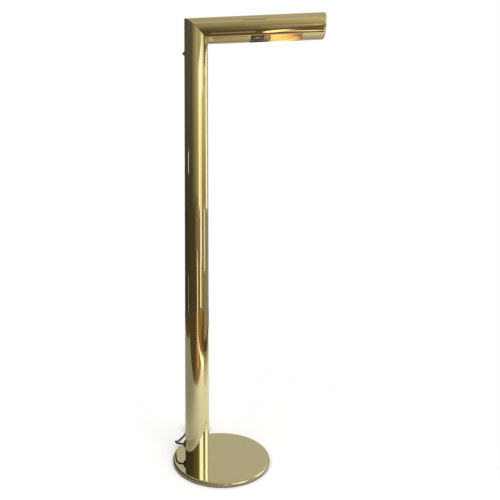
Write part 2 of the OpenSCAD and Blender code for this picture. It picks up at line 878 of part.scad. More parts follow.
module bulb_glass() {
    color(white) along_holder() rotate_extrude() difference() {
        bulb_section(0);
        bulb_section(glass_t);
    }
}

module bulb_stem() {
    color(white) along_holder() {
        translate([0, 0, stem_at]) cylinder(r = neck_r - glass_t - fit_gap, h = stem_foot_t);
        translate([0, 0, stem_at]) cylinder(r = stem_d / 2, h = stem_len);
    }
}

module bulb_filament() {
    color(steel) swept(filament_route, filament_wire_d, wire_sides);
}

base_shell();
base_weight();
base_felt();
base_screws();
column_foot();
column_tube();
arm_tube();
arm_end_cap();
cord_bushing();
bushing_nut();
mains_cord();
cord_coil();
coil_tie();
cord_tail();
plug_body();
plug_blades();
inner_cord();
line_wire();
neutral_wire();
switched_wire();
switch_body();
switch_back();
switch_terminals();
switch_barrel();
switch_nut();
switch_button();
switch_spring();
socket_plate();
socket_nipple();
nipple_nuts();
holder_body();
holder_sleeve();
holder_insulator();
holder_screw_shell();
holder_contact();
holder_terminals();
bulb_cap();
bulb_contact();
bulb_glass();
bulb_stem();
bulb_filament();
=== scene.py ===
"""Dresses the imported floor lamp: smooth polished brass, its cord, a finish for every piece, and the studio round it.

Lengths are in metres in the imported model's own frame: +X along the arm, +Z up, the floor at zero.
"""

import logging
import math
from collections.abc import Iterable, Sequence
from dataclasses import dataclass
from enum import Enum

import bmesh
import bpy
from mathutils import Matrix, Vector


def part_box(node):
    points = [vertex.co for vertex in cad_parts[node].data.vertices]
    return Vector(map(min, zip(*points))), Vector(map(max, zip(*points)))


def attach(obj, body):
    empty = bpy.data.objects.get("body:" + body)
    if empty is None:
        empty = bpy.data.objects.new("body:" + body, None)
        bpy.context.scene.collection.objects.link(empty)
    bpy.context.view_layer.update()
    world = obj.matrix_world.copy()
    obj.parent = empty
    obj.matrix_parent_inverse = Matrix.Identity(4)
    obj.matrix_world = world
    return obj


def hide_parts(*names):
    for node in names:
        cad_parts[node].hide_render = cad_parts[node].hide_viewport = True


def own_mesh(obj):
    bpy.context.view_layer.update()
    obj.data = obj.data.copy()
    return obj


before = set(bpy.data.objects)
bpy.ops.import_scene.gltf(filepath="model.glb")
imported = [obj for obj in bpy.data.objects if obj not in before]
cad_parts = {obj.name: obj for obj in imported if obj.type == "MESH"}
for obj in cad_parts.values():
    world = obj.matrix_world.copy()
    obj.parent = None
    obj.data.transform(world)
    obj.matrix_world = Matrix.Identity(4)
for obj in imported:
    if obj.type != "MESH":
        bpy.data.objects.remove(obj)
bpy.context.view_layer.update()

log = logging.getLogger("floor_lamp")

Point = tuple[float, float]
Place = tuple[float, float, float]
Colour = tuple[float, float, float]
Inputs = dict[str | int, object]
Outlets = bpy.types.bpy_prop_collection
Tree = bpy.types.NodeTree
Node = bpy.types.Node
Socket = bpy.types.NodeSocket
Piece = bpy.types.Object
Mesh = bmesh.types.BMesh
Edge = bmesh.types.BMEdge

X_AXIS = Vector((1, 0, 0))
Y_AXIS = Vector((0, 1, 0))
Z_AXIS = Vector((0, 0, 1))
FULL_TURN = 2 * math.pi
FINE_STEPS = 256
SMALL_STEPS = 96
MERGE = 1e-7


class Body(Enum):
    """The bodies that pieces ride on."""

    LAMP = "lamp"
    BUTTON = "push_button"


class Effect(Enum):
    """Surface effects that several finishes share."""

    HANDLING = "handling_marks"
    GRAIN = "moulded_grain"
    LINES = "drawn_lines"


class Seen(Enum):
    """The mirrors that show a panel: any, those that see it at a slant, or those that see it square on."""

    ANY = "any"
    SLANTED = "slanted"
    SQUARE = "square"


class Cut(Enum):
    """The side of a plane that a cut takes away."""

    NONE = "none"
    BEHIND = "behind"
    AHEAD = "ahead"


@dataclass(frozen=True)
class Net:
    """A node tree that is being filled."""

    tree: Tree

    def join(self, made: Node, inputs: Inputs) -> Node:
        """Sets a node's inputs or links them.

        Args:
            made: The node.
            inputs: Values or output sockets, by the input's name or number.

        Returns:
            The node.
        """
        for key, value in inputs.items():
            if isinstance(value, Socket):
                self.tree.links.new(value, made.inputs[key])
            else:
                made.inputs[key].default_value = value
        return made

    def node(self, kind: str, inputs: Inputs | None = None, **settings: object) -> Node:
        """Adds a node, sets it up and joins it.

        Args:
            kind: The node's type name.
            inputs: Values or output sockets, by the input's name or number.
            **settings: Properties of the node itself.

        Returns:
            The new node.
        """
        made = self.tree.nodes.new(kind)
        for name, value in settings.items():
            setattr(made, name, value)
        return self.join(made, inputs or {})

    def place(self) -> Socket:
        """Gives the object's own coordinates."""
        return self.node("ShaderNodeTexCoord").outputs["Object"]

    def mixed(self, share: Socket, low: Colour | Socket, high: Colour | Socket) -> Socket:
        """Mixes two colours, with a share of the second."""
        low, high = (c if isinstance(c, Socket) else (*c, 1) for c in (low, high))
        return self.node("ShaderNodeMix", {0: share, 6: low, 7: high}, data_type="RGBA").outputs[2]

    def maths(self, operation: str, *values: float | Socket) -> Socket:
        """Works a value out from others."""
        return self.node("ShaderNodeMath", dict(enumerate(values)), operation=operation).outputs[0]

    def ranged(self, value: Socket, source: Sequence[float], target: Point = (0, 1)) -> Socket:
        """Maps a value smoothly from one range to another."""
        inputs = dict(zip(("Value", "From Min", "From Max", "To Min", "To Max"), (value, *source, *target)))
        return self.node("ShaderNodeMapRange", inputs, interpolation_type="SMOOTHSTEP").outputs[0]

    def along(self, way: Vector, span: Sequence[float], target: Point = (0, 1)) -> Socket:
        """Gives a value that changes between two places along a direction."""
        away = self.node("ShaderNodeVectorMath", {0: self.place(), 1: way}, operation="DOT_PRODUCT")
        return self.ranged(away.outputs["Value"], span, target)

    def noise(self, place: Socket, scale: float | Socket, detail: float, roughness: float) -> Socket:
        """Gives a noise's value, from 0 to 1."""
        inputs = {"Vector": place, "Scale": scale, "Detail": detail, "Roughness": roughness}
        return self.node("ShaderNodeTexNoise", inputs).outputs[0]

    def bump(self, height: Socket, deep: float) -> Socket:
        """Gives the normal for a height, of which 1 is so many metres deep."""
        return self.node("ShaderNodeBump", {"Height": height, "Distance": deep, "Strength": 1.0}).outputs[0]

    def effect(self, kind: Effect, inputs: Inputs) -> Outlets:
        """Places a shared effect and gives its outputs."""
        return self.node("ShaderNodeGroup", inputs, node_tree=EFFECTS.group(kind)).outputs


class EffectLibrary:
    """Builds each shared effect once, as a node group on Object coordinates."""

    def group(self, effect: Effect) -> Tree:
        """Gives an effect's node group, made on first use.

        Args:
            effect: The effect.

        Returns:
            Its node group.
        """
        found = bpy.data.node_groups.get(effect.value)
        if found:
            return found
        names, build = {
            Effect.HANDLING: (("Cloud Scale", "Spot Scale", "Spot Share"), self._handling),
            Effect.GRAIN: (("Scale", "Tone Scale"), self._grain),
            Effect.LINES: (("Along X", "Along Y", "Along Z"), self._lines),
        }[effect]
        net = Net(bpy.data.node_groups.new(effect.value, "ShaderNodeTree"))
        self._declare(net.tree, names, "INPUT")
        results = build(net, net.node("NodeGroupInput").outputs, net.place())
        self._declare(net.tree, results, "OUTPUT")
        net.node("NodeGroupOutput", results)
        return net.tree

    def _declare(self, tree: Tree, names: Iterable[str], side: str) -> None:
        """Declares a group's inputs or outputs."""
        for name in names:
            tree.interface.new_socket(name, in_out=side, socket_type="NodeSocketFloat")

    def _handling(self, net: Net, entry: Outlets, place: Socket) -> Inputs:
        """Makes clouded smudges of handling, and small spots where the surface has aged.

        Args:
            net: The group's nodes.
            entry: The group's inputs by name.
            place: The object's own coordinates.

        Returns:
            The group's outputs by name.
        """
        cloud = net.noise(place, entry["Cloud Scale"], detail=4, roughness=0.6)
        speck = net.noise(place, entry["Spot Scale"], detail=3, roughness=0.7)
        patch = net.ranged(cloud, (0.5, 0.7), (0.15, 1))
        spots = net.maths("MULTIPLY", net.ranged(speck, (0.6, 0.78)), patch)
        return {"Smudge": net.ranged(cloud, (0.38, 0.68)), "Spots": net.maths("MULTIPLY", spots, entry["Spot Share"])}

    def _grain(self, net: Net, entry: Outlets, place: Socket) -> Inputs:
        """Makes the fine pebbled grain of a moulded surface, and a slow change of tone."""
        tone = net.ranged(net.noise(place, entry["Tone Scale"], detail=5, roughness=0.65), (0.35, 0.65))
        return {"Height": net.noise(place, entry["Scale"], detail=2, roughness=0.55), "Tone": tone}

    def _lines(self, net: Net, entry: Outlets, place: Socket) -> Inputs:
        """Makes fine drawn or turned lines, stretched along each axis by its own amount.

        Args:
            net: The group's nodes.
            entry: The group's inputs by name.
            place: The object's own coordinates.

        Returns:
            The group's outputs by name.
        """
        stretch = net.node("ShaderNodeCombineXYZ", {axis: entry[f"Along {axis}"] for axis in "XYZ"}).outputs[0]
        spread = net.node("ShaderNodeVectorMath", {0: place, 1: stretch}, operation="MULTIPLY").outputs[0]
        line = net.noise(spread, scale=1, detail=3, roughness=0.6)
        return {"Height": line, "Tone": net.ranged(line, (0.3, 0.7))}


EFFECTS = EffectLibrary()


@dataclass(frozen=True)
class Finish:
    """A surface finish, named after a material slot of the record."""

    slot: str
    colour: Colour
    roughness: float

    def material(self) -> bpy.types.Material:
        """Gives the finish's material, made on first use.

        Returns:
            The material.
        """
        name = f"finish_{self.slot}"
        found = bpy.data.materials.get(name)
        if found:
            return found
        made = bpy.data.materials.new(name)
        made.use_nodes = True
        net = Net(made.node_tree)
        shader = net.tree.nodes["Principled BSDF"]
        net.join(shader, {"Base Color": (*self.colour, 1), "Roughness": self.roughness})
        net.join(shader, self.dress(net))
        return made

    def dress(self, net: Net) -> Inputs:
        """Gives the shader's inputs that are the finish's own."""
        raise NotImplementedError

    def rougher(self, net: Net, mask: Socket, more: float) -> Socket:
        """Gives a roughness that grows with a mask."""
        return net.ranged(mask, (0, 1), (self.roughness, self.roughness + more))


@dataclass(frozen=True)
class Brass(Finish):
    """Brass, from mirror polish to tarnish: smudges, aged spots, slow waves, hairlines, and painted shade near the
    floor.
    """

    tarnish: Colour
    smudge: float
    spot_share: float
    wave: float
    hairline: float
    lacquer: float = 0.0
    painted_floor_shade: Colour | None = None
    painted_floor_shade_span: Point = (0.0042, 0.0072)

    def dress(self, net: Net) -> Inputs:
        """Gives smudges to the roughness, spots and painted shade near the floor to the colour, and waves and hairlines
        to the normal.

        Args:
            net: The material's nodes.

        Returns:
            The shader's inputs.
        """
        marks = net.effect(Effect.HANDLING, {"Cloud Scale": 9, "Spot Scale": 420, "Spot Share": self.spot_share})
        lines = net.effect(Effect.LINES, {"Along X": 700, "Along Y": 700, "Along Z": 30})
        waves = net.noise(net.place(), scale=16, detail=1, roughness=0.4)
        aged_and_shaded = net.mixed(marks["Spots"], self.colour, self.tarnish)
        # Painted shade: the colour darkens towards the floor, on the foot's lower rim.
        if self.painted_floor_shade:
            aged_and_shaded = net.mixed(net.along(Z_AXIS, self.painted_floor_shade_span, (1, 0)), aged_and_shaded, self.painted_floor_shade)
        return {
            "Metallic": 1, "Coat Weight": self.lacquer, "Coat Roughness": 0.04, "Base Color": aged_and_shaded,
            "Roughness": self.rougher(net, marks["Smudge"], self.smudge),
            "Normal": net.bump(net.maths("MULTIPLY_ADD", lines["Height"], self.hairline, waves), self.wave),
        }


@dataclass(frozen=True)
class Steel(Finish):
    """Turned, drawn or plated steel: fine lines and a cloudy tone."""

    shade: Colour
    line: float
    uneven: float = 0.15

    def dress(self, net: Net) -> Inputs:
        """Gives fine lines to the normal and the roughness, and clouds to the colour.

        Args:
            net: The material's nodes.

        Returns:
            The shader's inputs.
        """
        lines = net.effect(Effect.LINES, {"Along X": 300, "Along Y": 300, "Along Z": 2500})
        marks = net.effect(Effect.HANDLING, {"Cloud Scale": 60, "Spot Scale": 600, "Spot Share": 0.8})
        return {
            "Metallic": 1, "Base Color": net.mixed(marks["Smudge"], self.colour, self.shade),
            "Roughness": self.rougher(net, lines["Tone"], self.uneven), "Normal": net.bump(lines["Height"], self.line),
        }


@dataclass(frozen=True)
class Moulded(Finish):
    """Moulded plastic, rubber, hard board or glazed ware: grain, tone and scuffs."""

    scuffed: Colour
    grain: float
    grain_scale: float = 900.0
    gloss_coat: float = 0.0
    toned: float = 0.4
    uneven: float = 0.18

    def dress(self, net: Net) -> Inputs:
        """Gives grain to the normal, tone and scuffs to the colour, and smudges to the roughness.

        Args:
            net: The material's nodes.

        Returns:
            The shader's inputs.
        """
        grain = net.effect(Effect.GRAIN, {"Scale": self.grain_scale, "Tone Scale": 55})
        marks = net.effect(Effect.HANDLING, {"Cloud Scale": 45, "Spot Scale": 500, "Spot Share": 0.9})
        tone = tuple((1 - self.toned) * c + self.toned * s for c, s in zip(self.colour, self.scuffed))
        colour = net.mixed(grain["Tone"], self.colour, tone)
        return {
            "Coat Weight": self.gloss_coat, "Coat Roughness": 0.12,
            "Base Color": net.mixed(marks["Spots"], colour, self.scuffed),
            "Roughness": self.rougher(net, marks["Smudge"], self.uneven),
            "Normal": net.bump(grain["Height"], self.grain),
        }


@dataclass(frozen=True)
class Felt(Finish):
    """Pressed felt: matted fibres in two tones."""

    fibre: Colour
    crossed: float = 0.8
    pile: float = 0.0006

    def dress(self, net: Net) -> Inputs:
        """Gives crossed fibres to the normal and the colour.

        Args:
            net: The material's nodes.

        Returns:
            The shader's inputs.
        """
        one = net.effect(Effect.LINES, {"Along X": 2200, "Along Y": 300, "Along Z": 600})
        two = net.effect(Effect.LINES, {"Along X": 300, "Along Y": 2200, "Along Z": 600})
        matted = net.maths("MULTIPLY_ADD", two["Height"], self.crossed, one["Height"])
        colour = net.mixed(net.ranged(matted, (0.6, 1.2)), self.colour, self.fibre)
        return {"Sheen Weight": 0.4, "Base Color": colour, "Normal": net.bump(matted, self.pile)}


@dataclass(frozen=True)
class LitGlass(Finish):
    """Frosted glass of a lit bulb, whose glow goes from yellow to orange along it and to a paler tone at the back, with
    painted shade at the far end's upper side.
    """

    near: Colour
    far: Colour
    tip_shade: Colour
    pale: Colour
    along: Point
    tip_shade_along: Point
    tip_shade_above: Point
    across: Point
    glow: float
    uneven: float = 0.05
    frost: float = 0.00005

    def dress(self, net: Net) -> Inputs:
        """Gives the glow its change of colour along and across the bulb, painted shade at the far end's upper side, and
        the frosting its fine grain.

        Args:
            net: The material's nodes.

        Returns:
            The shader's inputs.
        """
        grain = net.effect(Effect.GRAIN, {"Scale": 1500, "Tone Scale": 30})
        uneven = net.ranged(grain["Tone"], (0, 1), (-1, 1))
        share = net.maths("MULTIPLY_ADD", uneven, self.uneven, net.along(X_AXIS, self.along))
        warm = net.mixed(share, self.near, self.far)
        # Painted shade: the glow darkens to a dark brown towards the far end and its upper side.
        tip_shading = net.maths("MULTIPLY", net.along(X_AXIS, self.tip_shade_along), net.along(Z_AXIS, self.tip_shade_above))
        warm = net.mixed(tip_shading, warm, self.tip_shade)
        return {
            "Emission Color": net.mixed(net.along(Y_AXIS, self.across), warm, self.pale),
            "Emission Strength": self.glow, "Normal": net.bump(grain["Height"], self.frost),
        }


@dataclass(frozen=True)
class ClearGlass(Finish):
    """Clear glass with faint seeds and waves."""

    wave: float = 0.0001

    def dress(self, net: Net) -> Inputs:
        """Lets light through, and gives a slow waviness to the normal."""
        grain = net.effect(Effect.GRAIN, {"Scale": 200, "Tone Scale": 30})
        return {"Transmission Weight": 1, "IOR": 1.5, "Normal": net.bump(grain["Height"], self.wave)}


# The last colour of polished brass is painted shade, which darkens the foot's rim towards the floor.
POLISHED_BRASS = Brass("polished_brass", (0.7, 0.62, 0.37), 0.035, (0.34, 0.24, 0.1), 0.06, 0.5, 0.00012, 0.006, 0.1,
                       (0.32, 0.3, 0.235))
TUBE_INSIDE = Brass("tube_inside", (0.72, 0.62, 0.38), 0.82, (0.42, 0.32, 0.16), 0.12, 0.5, 0.00003, 0.1)
CONTACT_BRASS = Brass("contact_brass", (0.52, 0.39, 0.17), 0.13, (0.25, 0.15, 0.05), 0.15, 0.9, 0.0001, 0.1)
DARK_BRASS = Brass("dark_brass", (0.2, 0.155, 0.075), 0.28, (0.05, 0.04, 0.02), 0.2, 0.9, 0.0001, 0.1)
FOOT_STEEL = Steel("foot_steel", (0.35, 0.35, 0.36), 0.35, (0.24, 0.23, 0.22), 0.00004)
ZINC_STEEL = Steel("zinc_steel", (0.6, 0.6, 0.6), 0.28, (0.5, 0.5, 0.46), 0.00002)
SPRING_STEEL = Steel("spring_steel", (0.5, 0.5, 0.52), 0.25, (0.34, 0.34, 0.36), 0.00001)
FELT = Felt("felt", (0.035, 0.06, 0.035), 0.95, (0.075, 0.11, 0.07))
BLACK_PLASTIC = Moulded("black_plastic", (0.016, 0.015, 0.014), 0.38, (0.06, 0.057, 0.053), 0.00006)
CORD_JACKET = Moulded("cord_jacket", (0.018, 0.017, 0.016), 0.42, (0.05, 0.048, 0.045), 0.00004, 700.0)
WIRE_BLACK = Moulded("wire_black", (0.03, 0.03, 0.03), 0.45, (0.09, 0.085, 0.08), 0.00003)
WIRE_WHITE = Moulded("wire_white", (0.8, 0.78, 0.72), 0.45, (0.6, 0.56, 0.48), 0.00003)
PHENOLIC = Moulded("phenolic", (0.024, 0.016, 0.01), 0.2, (0.07, 0.055, 0.045), 0.00002, 500.0, 0.9)
FIBRE_BOARD = Moulded("fibre_board", (0.3, 0.16, 0.08), 0.7, (0.18, 0.09, 0.04), 0.0001, 400.0)
PORCELAIN = Moulded("porcelain", (0.86, 0.83, 0.76), 0.12, (0.7, 0.64, 0.54), 0.00004, 150.0, 0.6)
STEM_GLASS = ClearGlass("stem_glass", (0.9, 0.92, 0.9), 0.04)
# The dark brown colour (0.095, 0.037, 0.007) is painted shade at the bulb's far end.
FROSTED_GLASS = LitGlass(
    "frosted_glass", (0.12, 0.08, 0.03), 0.4, (0.32, 0.195, 0.04), (0.27, 0.12, 0.026), (0.095, 0.037, 0.007),
    (1.0, 0.84, 0.4), (0.158, 0.188), (0.181, 0.203), (1.1086, 1.1106), (0.003, 0.011), 3.0)


def arc(centre: Point, radius: float, start: float, end: float, steps: int) -> list[Point]:
    """Gives a round stretch of a section, with angles in degrees from straight outwards towards the far end."""
    turns = [math.radians(start + (end - start) * i / steps) for i in range(steps + 1)]
    return [(centre[0] + radius * math.sin(t), centre[1] + radius * math.cos(t)) for t in turns]


def level_axis(low: Vector, high: Vector) -> Vector:
    """Gives a point on the level axis of a box with these corners."""
    return Vector((0, 0, ((low + high) / 2).z))


def turned(
    section: Sequence[Point], origin: Vector, axis: Vector, steps: int = FINE_STEPS, closed: bool = True,
) -> Mesh:
    """Turns a section round an axis.

    Args:
        section: Points along the axis and away from it.
        origin: Where the axis starts.
        axis: Its direction.
        steps: How many steps a full turn has.
        closed: Whether the section's last point joins its first. One that starts and ends on the axis is open.

    Returns:
        The mesh.
    """
    bm = bmesh.new()
    side = X_AXIS if axis == Z_AXIS else Z_AXIS
    verts = [bm.verts.new(origin + axis * along + side * away) for along, away in section]
    ahead = verts[1:] + verts[:1] if closed else verts[1:]
    edges = [bm.edges.new(pair) for pair in zip(verts, ahead)]
    bmesh.ops.spin(
        bm, geom=verts + edges, cent=origin, axis=axis, angle=FULL_TURN, steps=steps, use_merge=True,
        use_duplicate=False)
    bmesh.ops.remove_doubles(bm, verts=bm.verts[:], dist=MERGE)
    return bm


def sliced(bm: Mesh, place: Vector, normal: Vector, away: Cut = Cut.NONE) -> None:
    """Cuts a mesh along a plane and takes one side away, if any."""
    bmesh.ops.bisect_plane(
        bm, geom=bm.verts[:] + bm.edges[:] + bm.faces[:], dist=MERGE, plane_co=place, plane_no=normal,
        clear_inner=away is Cut.BEHIND, clear_outer=away is Cut.AHEAD)


def walled(bm: Mesh) -> list[Edge]:
    """Closes the wall between the two open rims of a cut tube.

    Args:
        bm: The mesh.

    Returns:
        The edges of both rims.
    """
    rims = [edge for edge in bm.edges if edge.is_boundary]
    bmesh.ops.bridge_loops(bm, edges=rims)
    return rims


def softened(bm: Mesh, edges: Sequence[Edge], width: float) -> None:
    """Rounds edges off."""
    bmesh.ops.bevel(
        bm, geom=edges, offset=width, offset_type="OFFSET", segments=2, profile=0.5, affect="EDGES", material=-1,
        clamp_overlap=True)


def published(
    bm: Mesh, name: str, finish: Finish, *nodes: str, body: Body = Body.LAMP, crease: float = 32.0,
) -> Piece:
    """Makes a mesh a piece of the lamp that stands for CAD nodes.

    Args:
        bm: The mesh, which is used up.
        name: The piece's name.
        finish: Its finish.
        *nodes: The CAD nodes that it replaces.
        body: The body that it rides on.
        crease: The angle past which an edge stays sharp, in degrees.

    Returns:
        The piece.
    """
    bmesh.ops.remove_doubles(bm, verts=bm.verts[:], dist=MERGE)
    bmesh.ops.recalc_face_normals(bm, faces=bm.faces[:])
    mesh = bpy.data.meshes.new(name)
    bm.to_mesh(mesh)
    bm.free()
    mesh.shade_smooth()
    mesh.set_sharp_from_angle(angle=math.radians(crease))
    return carried(bpy.data.objects.new(name, mesh), finish, *nodes, body=body)


def carried(piece: Piece, finish: Finish, *nodes: str, body: Body = Body.LAMP) -> Piece:
    """Puts a piece in the scene, dresses it and lets it ride.

    Args:
        piece: The new object.
        finish: Its finish.
        *nodes: The CAD nodes that it replaces.
        body: The body that it rides on.

    Returns:
        The piece.
    """
    bpy.context.scene.collection.objects.link(piece)
    piece.data.materials.append(finish.material())
    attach(piece, body.value)
    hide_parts(*nodes)
    log.info("made %s for %s", piece.name, ", ".join(nodes))
    return piece


def dressed(finish: Finish, *nodes: str) -> None:
    """Gives CAD nodes that stay a finish.

    Args:
        finish: The finish.
        *nodes: The nodes' names.
    """
    for name in nodes:
        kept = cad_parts[name]
        kept.data.materials.clear()
        kept.data.materials.append(finish.material())
        log.info("dressed %s in %s", name, finish.slot)


@dataclass
class Cord:
    """The mains cord: from the bushing over the foot's rim to a tied coil behind the column, and its plug."""

    diameter: float = 0.0045
    length: float = 1.97
    section_steps: int = 5
    curve_steps: int = 4
    coil_radius: float = 0.025
    coil_step: float = 0.0052
    coil_loops: int = 11
    coil_layers: int = 4
    points_per_turn: int = 24
    exit: Place = (-0.1005, 0, 0.0365)
    coil_entry: Place = (-0.1135, 0.1555, 0.0033)
    free_route: tuple[Place, ...] = (
        (-0.105, 0, 0.0365), (-0.1125, 0.0017, 0.036), (-0.1185, 0.0065, 0.0346), (-0.122, 0.013, 0.0328),
        (-0.1245, 0.021, 0.0302), (-0.1265, 0.029, 0.0272), (-0.128, 0.037, 0.0236), (-0.129, 0.045, 0.0194),
        (-0.1295, 0.053, 0.015), (-0.1295, 0.061, 0.011), (-0.129, 0.069, 0.0078), (-0.1275, 0.077, 0.0054),
        (-0.1255, 0.085, 0.0038), (-0.123, 0.093, 0.003), (-0.1205, 0.101, 0.0027), (-0.118, 0.11, 0.0026),
        (-0.116, 0.119, 0.0026), (-0.1145, 0.128, 0.0028), (-0.1137, 0.137, 0.0031), (-0.1135, 0.146, 0.0033),
    )
    tail_steps: tuple[Place, ...] = (
        (0, 0, 0), (0, 0.0045, 0), (0.0006, 0.011, -0.0008), (0.0024, 0.018, -0.0028), (0.0052, 0.025, -0.0056),
        (0.0084, 0.032, -0.0084), (0.011, 0.039, -0.0104), (0.0123, 0.046, -0.0115), (0.0125, 0.053, -0.0119),
        (0.0125, 0.058, -0.0119),
    )
    plug_width: float = 0.024
    plug_height: float = 0.014
    plug_length: float = 0.016
    plug_waist: float = 0.012
    plug_edge: float = 0.0015
    end_shrink: Point = (0.965, 0.9)
    corner_steps: int = 6
    taper: float = 0.012
    taper_steps: int = 12
    groove: float = 0.95
    groove_every: int = 3
    relief_length: float = 0.014
    relief_wide: float = 0.009
    relief_narrow: float = 0.006
    relief_ribs: int = 5
    rib_span: Point = (0.05, 0.75)
    rib_edge: float = 0.0004

    def build(self) -> None:
        plug = self.plug()
        dressed(BLACK_PLASTIC, "coil_tie", "cord_bushing", "bushing_nut")
        dressed(CONTACT_BRASS, "plug_blades")
        cord = carried(self.lead(), CORD_JACKET, "mains_cord", "cord_coil", "cord_tail")
        dressed(CORD_JACKET, "inner_cord")
        dressed(WIRE_BLACK, "line_wire", "switched_wire")
        dressed(WIRE_WHITE, "neutral_wire")

    def lead(self) -> Piece:
        """Makes the cord as a round curve, from the bushing to the plug.

        Returns:
            The curve's object, not yet in the scene.
        """
        free = [Vector(p) for p in (self.exit, *self.free_route, self.coil_entry)]
        coil = [self.coil_point(i / self.points_per_turn) for i in range(self.coil_loops * self.points_per_turn + 1)]
        route = free + coil + [self.tail_start() + Vector(s) for s in self.tail_steps]
        curve = bpy.data.curves.new("mains_lead", "CURVE")
        curve.dimensions = "3D"
        curve.bevel_depth = self.diameter / 2
        curve.bevel_resolution = self.section_steps
        curve.resolution_u = self.curve_steps
        curve.use_fill_caps = True
        spline = curve.splines.new("BEZIER")
        spline.bezier_points.add(len(route) - 1)
        for knot, place in zip(spline.bezier_points, route):
            knot.co = place
            knot.handle_left_type = knot.handle_right_type = "AUTO"
        return bpy.data.objects.new("mains_lead", curve)

    def tail_start(self) -> Vector:
        """Gives the point where the cord leaves the coil's top layer."""
        return Vector(self.coil_entry) + Vector((0, 2 * self.diameter, (self.coil_layers - 1) * self.coil_step))

    def coil_point(self, turns: float) -> Vector:
        """Gives a point of the coil, which spirals in and out and climbs a layer where it turns back.

        Args:
            turns: How many turns from the coil's start.

        Returns:
            The point.
        """
        layer_turns = (self.coil_loops - (self.coil_layers - 1) / 2) / self.coil_layers
        spread = layer_turns * self.coil_step
        outer, inner = self.coil_radius + spread / 2, self.coil_radius - spread / 2
        middle = Vector(self.coil_entry) + Vector((outer, self.diameter, 0))
        layer = min(int(turns // (layer_turns + 0.5)), self.coil_layers - 1)
        along = turns - layer * (layer_turns + 0.5)
        climb = max(along - layer_turns, 0) * 2
        shift = min(along, layer_turns) * self.coil_step + self.coil_step / 2 * (climb - climb**2)
        radius = outer - shift if layer % 2 == 0 else inner + shift
        angle = math.pi - FULL_TURN * turns
        return middle + Vector((radius * math.cos(angle), radius * math.sin(angle), (layer + climb) * self.coil_step))

    def plug(self) -> Piece:
        """Makes the moulded plug: a ribbed relief on the cord, a grooved taper and a rounded body.

        Returns:
            The piece.
        """
        start = self.tail_start() + Vector(self.tail_steps[-1])
        edge = self.rib_edge
        relief = [(0.0, self.diameter / 2)]
        for rib in range(self.relief_ribs):
            low, high = (self.relief_length * (rib + s) / self.relief_ribs for s in self.rib_span)
            wide = (self.relief_narrow + (self.relief_wide - self.relief_narrow) * (rib + 0.5) / self.relief_ribs) / 2
            relief += [(low, wide - edge), (low + edge, wide), (high - edge, wide), (high, wide - edge)]
        relief.append((self.relief_length, self.relief_wide / 2 - edge))
        bm = turned([(0.0, 0.0), *relief, (self.relief_length, 0.0)], start, Y_AXIS, SMALL_STEPS // 2, closed=False)
        self.plug_block(bm, start + Y_AXIS * self.relief_length)
        return published(bm, "plug_moulding", BLACK_PLASTIC, "plug_body")

    def plug_block(self, bm: Mesh, start: Vector) -> None:
        """Adds the plug's solid part by extruding one rounded face along the cord.

        Args:
            bm: The mesh that gets it.
            start: The middle of its narrow end.
        """
        corner = self.plug_height / 3
        ring = []
        for side, rise, first in ((1, 1, 0), (-1, 1, 90), (-1, -1, 180), (1, -1, 270)):
            x, z = side * (self.plug_width / 2 - corner), rise * (self.plug_height / 2 - corner)
            for i in range(self.corner_steps + 1):
                t = math.radians(first + 90 * i / self.corner_steps)
                ring.append(bm.verts.new(start + Vector((x + corner * math.cos(t), 0, z + corner * math.sin(t)))))
        face = bm.faces.new(ring)
        narrow = (self.plug_waist / self.plug_width, self.relief_wide / self.plug_height)
        end = self.taper + self.plug_length
        stations = []
        for i in range(1, self.taper_steps + 1):
            swell = (1 - math.cos(math.pi * i / self.taper_steps)) / 2
            pull = self.groove if i % self.groove_every == 1 else 1.0
            stations.append((self.taper * i / self.taper_steps, swell, pull))
        near, last = self.end_shrink
        stations += [(end - self.plug_edge, 1.0, 1.0), (end - self.plug_edge / 3, 1.0, near), (end, 1.0, last)]
        middle = Matrix.Translation(-start)
        bmesh.ops.scale(bm, vec=(narrow[0], 1, narrow[1]), verts=face.verts[:], space=middle)
        before = (0.0, *narrow)
        for along, swell, pull in stations:
            size = [(n + (1 - n) * swell) * pull for n in narrow]
            grown = (size[0] / before[1], 1, size[1] / before[2])
            face = bmesh.ops.extrude_discrete_faces(bm, faces=[face])["faces"][0]
            bmesh.ops.translate(bm, vec=Y_AXIS * (along - before[0]), verts=face.verts[:])
            bmesh.ops.scale(bm, vec=grown, verts=face.verts[:], space=middle)
            before = (along, *size)


@dataclass
class Foot:
    """The round foot: a spun brass cover over a steel weight, with felt underneath."""

    edge: float = 0.005
    edge_steps: int = 14
    inner_steps: int = 6
    wall: float = 0.0012
    hold: float = 0.0004

    def build(self) -> None:
        """Makes the cover and dresses what is under it."""
        low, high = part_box("base_shell")
        radius, bottom, top = high.y, low.z, high.z
        bend = (top - self.edge, radius - self.edge)
        section = [
            (top, 0.0), (top, radius / 2), (top, radius - self.edge - self.hold),
            *arc(bend, self.edge, 90, 0, self.edge_steps), (bottom, radius), (bottom, radius - self.wall),
            *arc(bend, self.edge - self.wall, 0, 90, self.inner_steps), (top - self.wall, 0.0),
        ]
        published(turned(section, Vector(), Z_AXIS, closed=False), "foot_cover", POLISHED_BRASS, "base_shell")
        dressed(FELT, "base_felt")
        dressed(FOOT_STEEL, "base_weight", "column_foot")
        dressed(ZINC_STEEL, "base_screws")


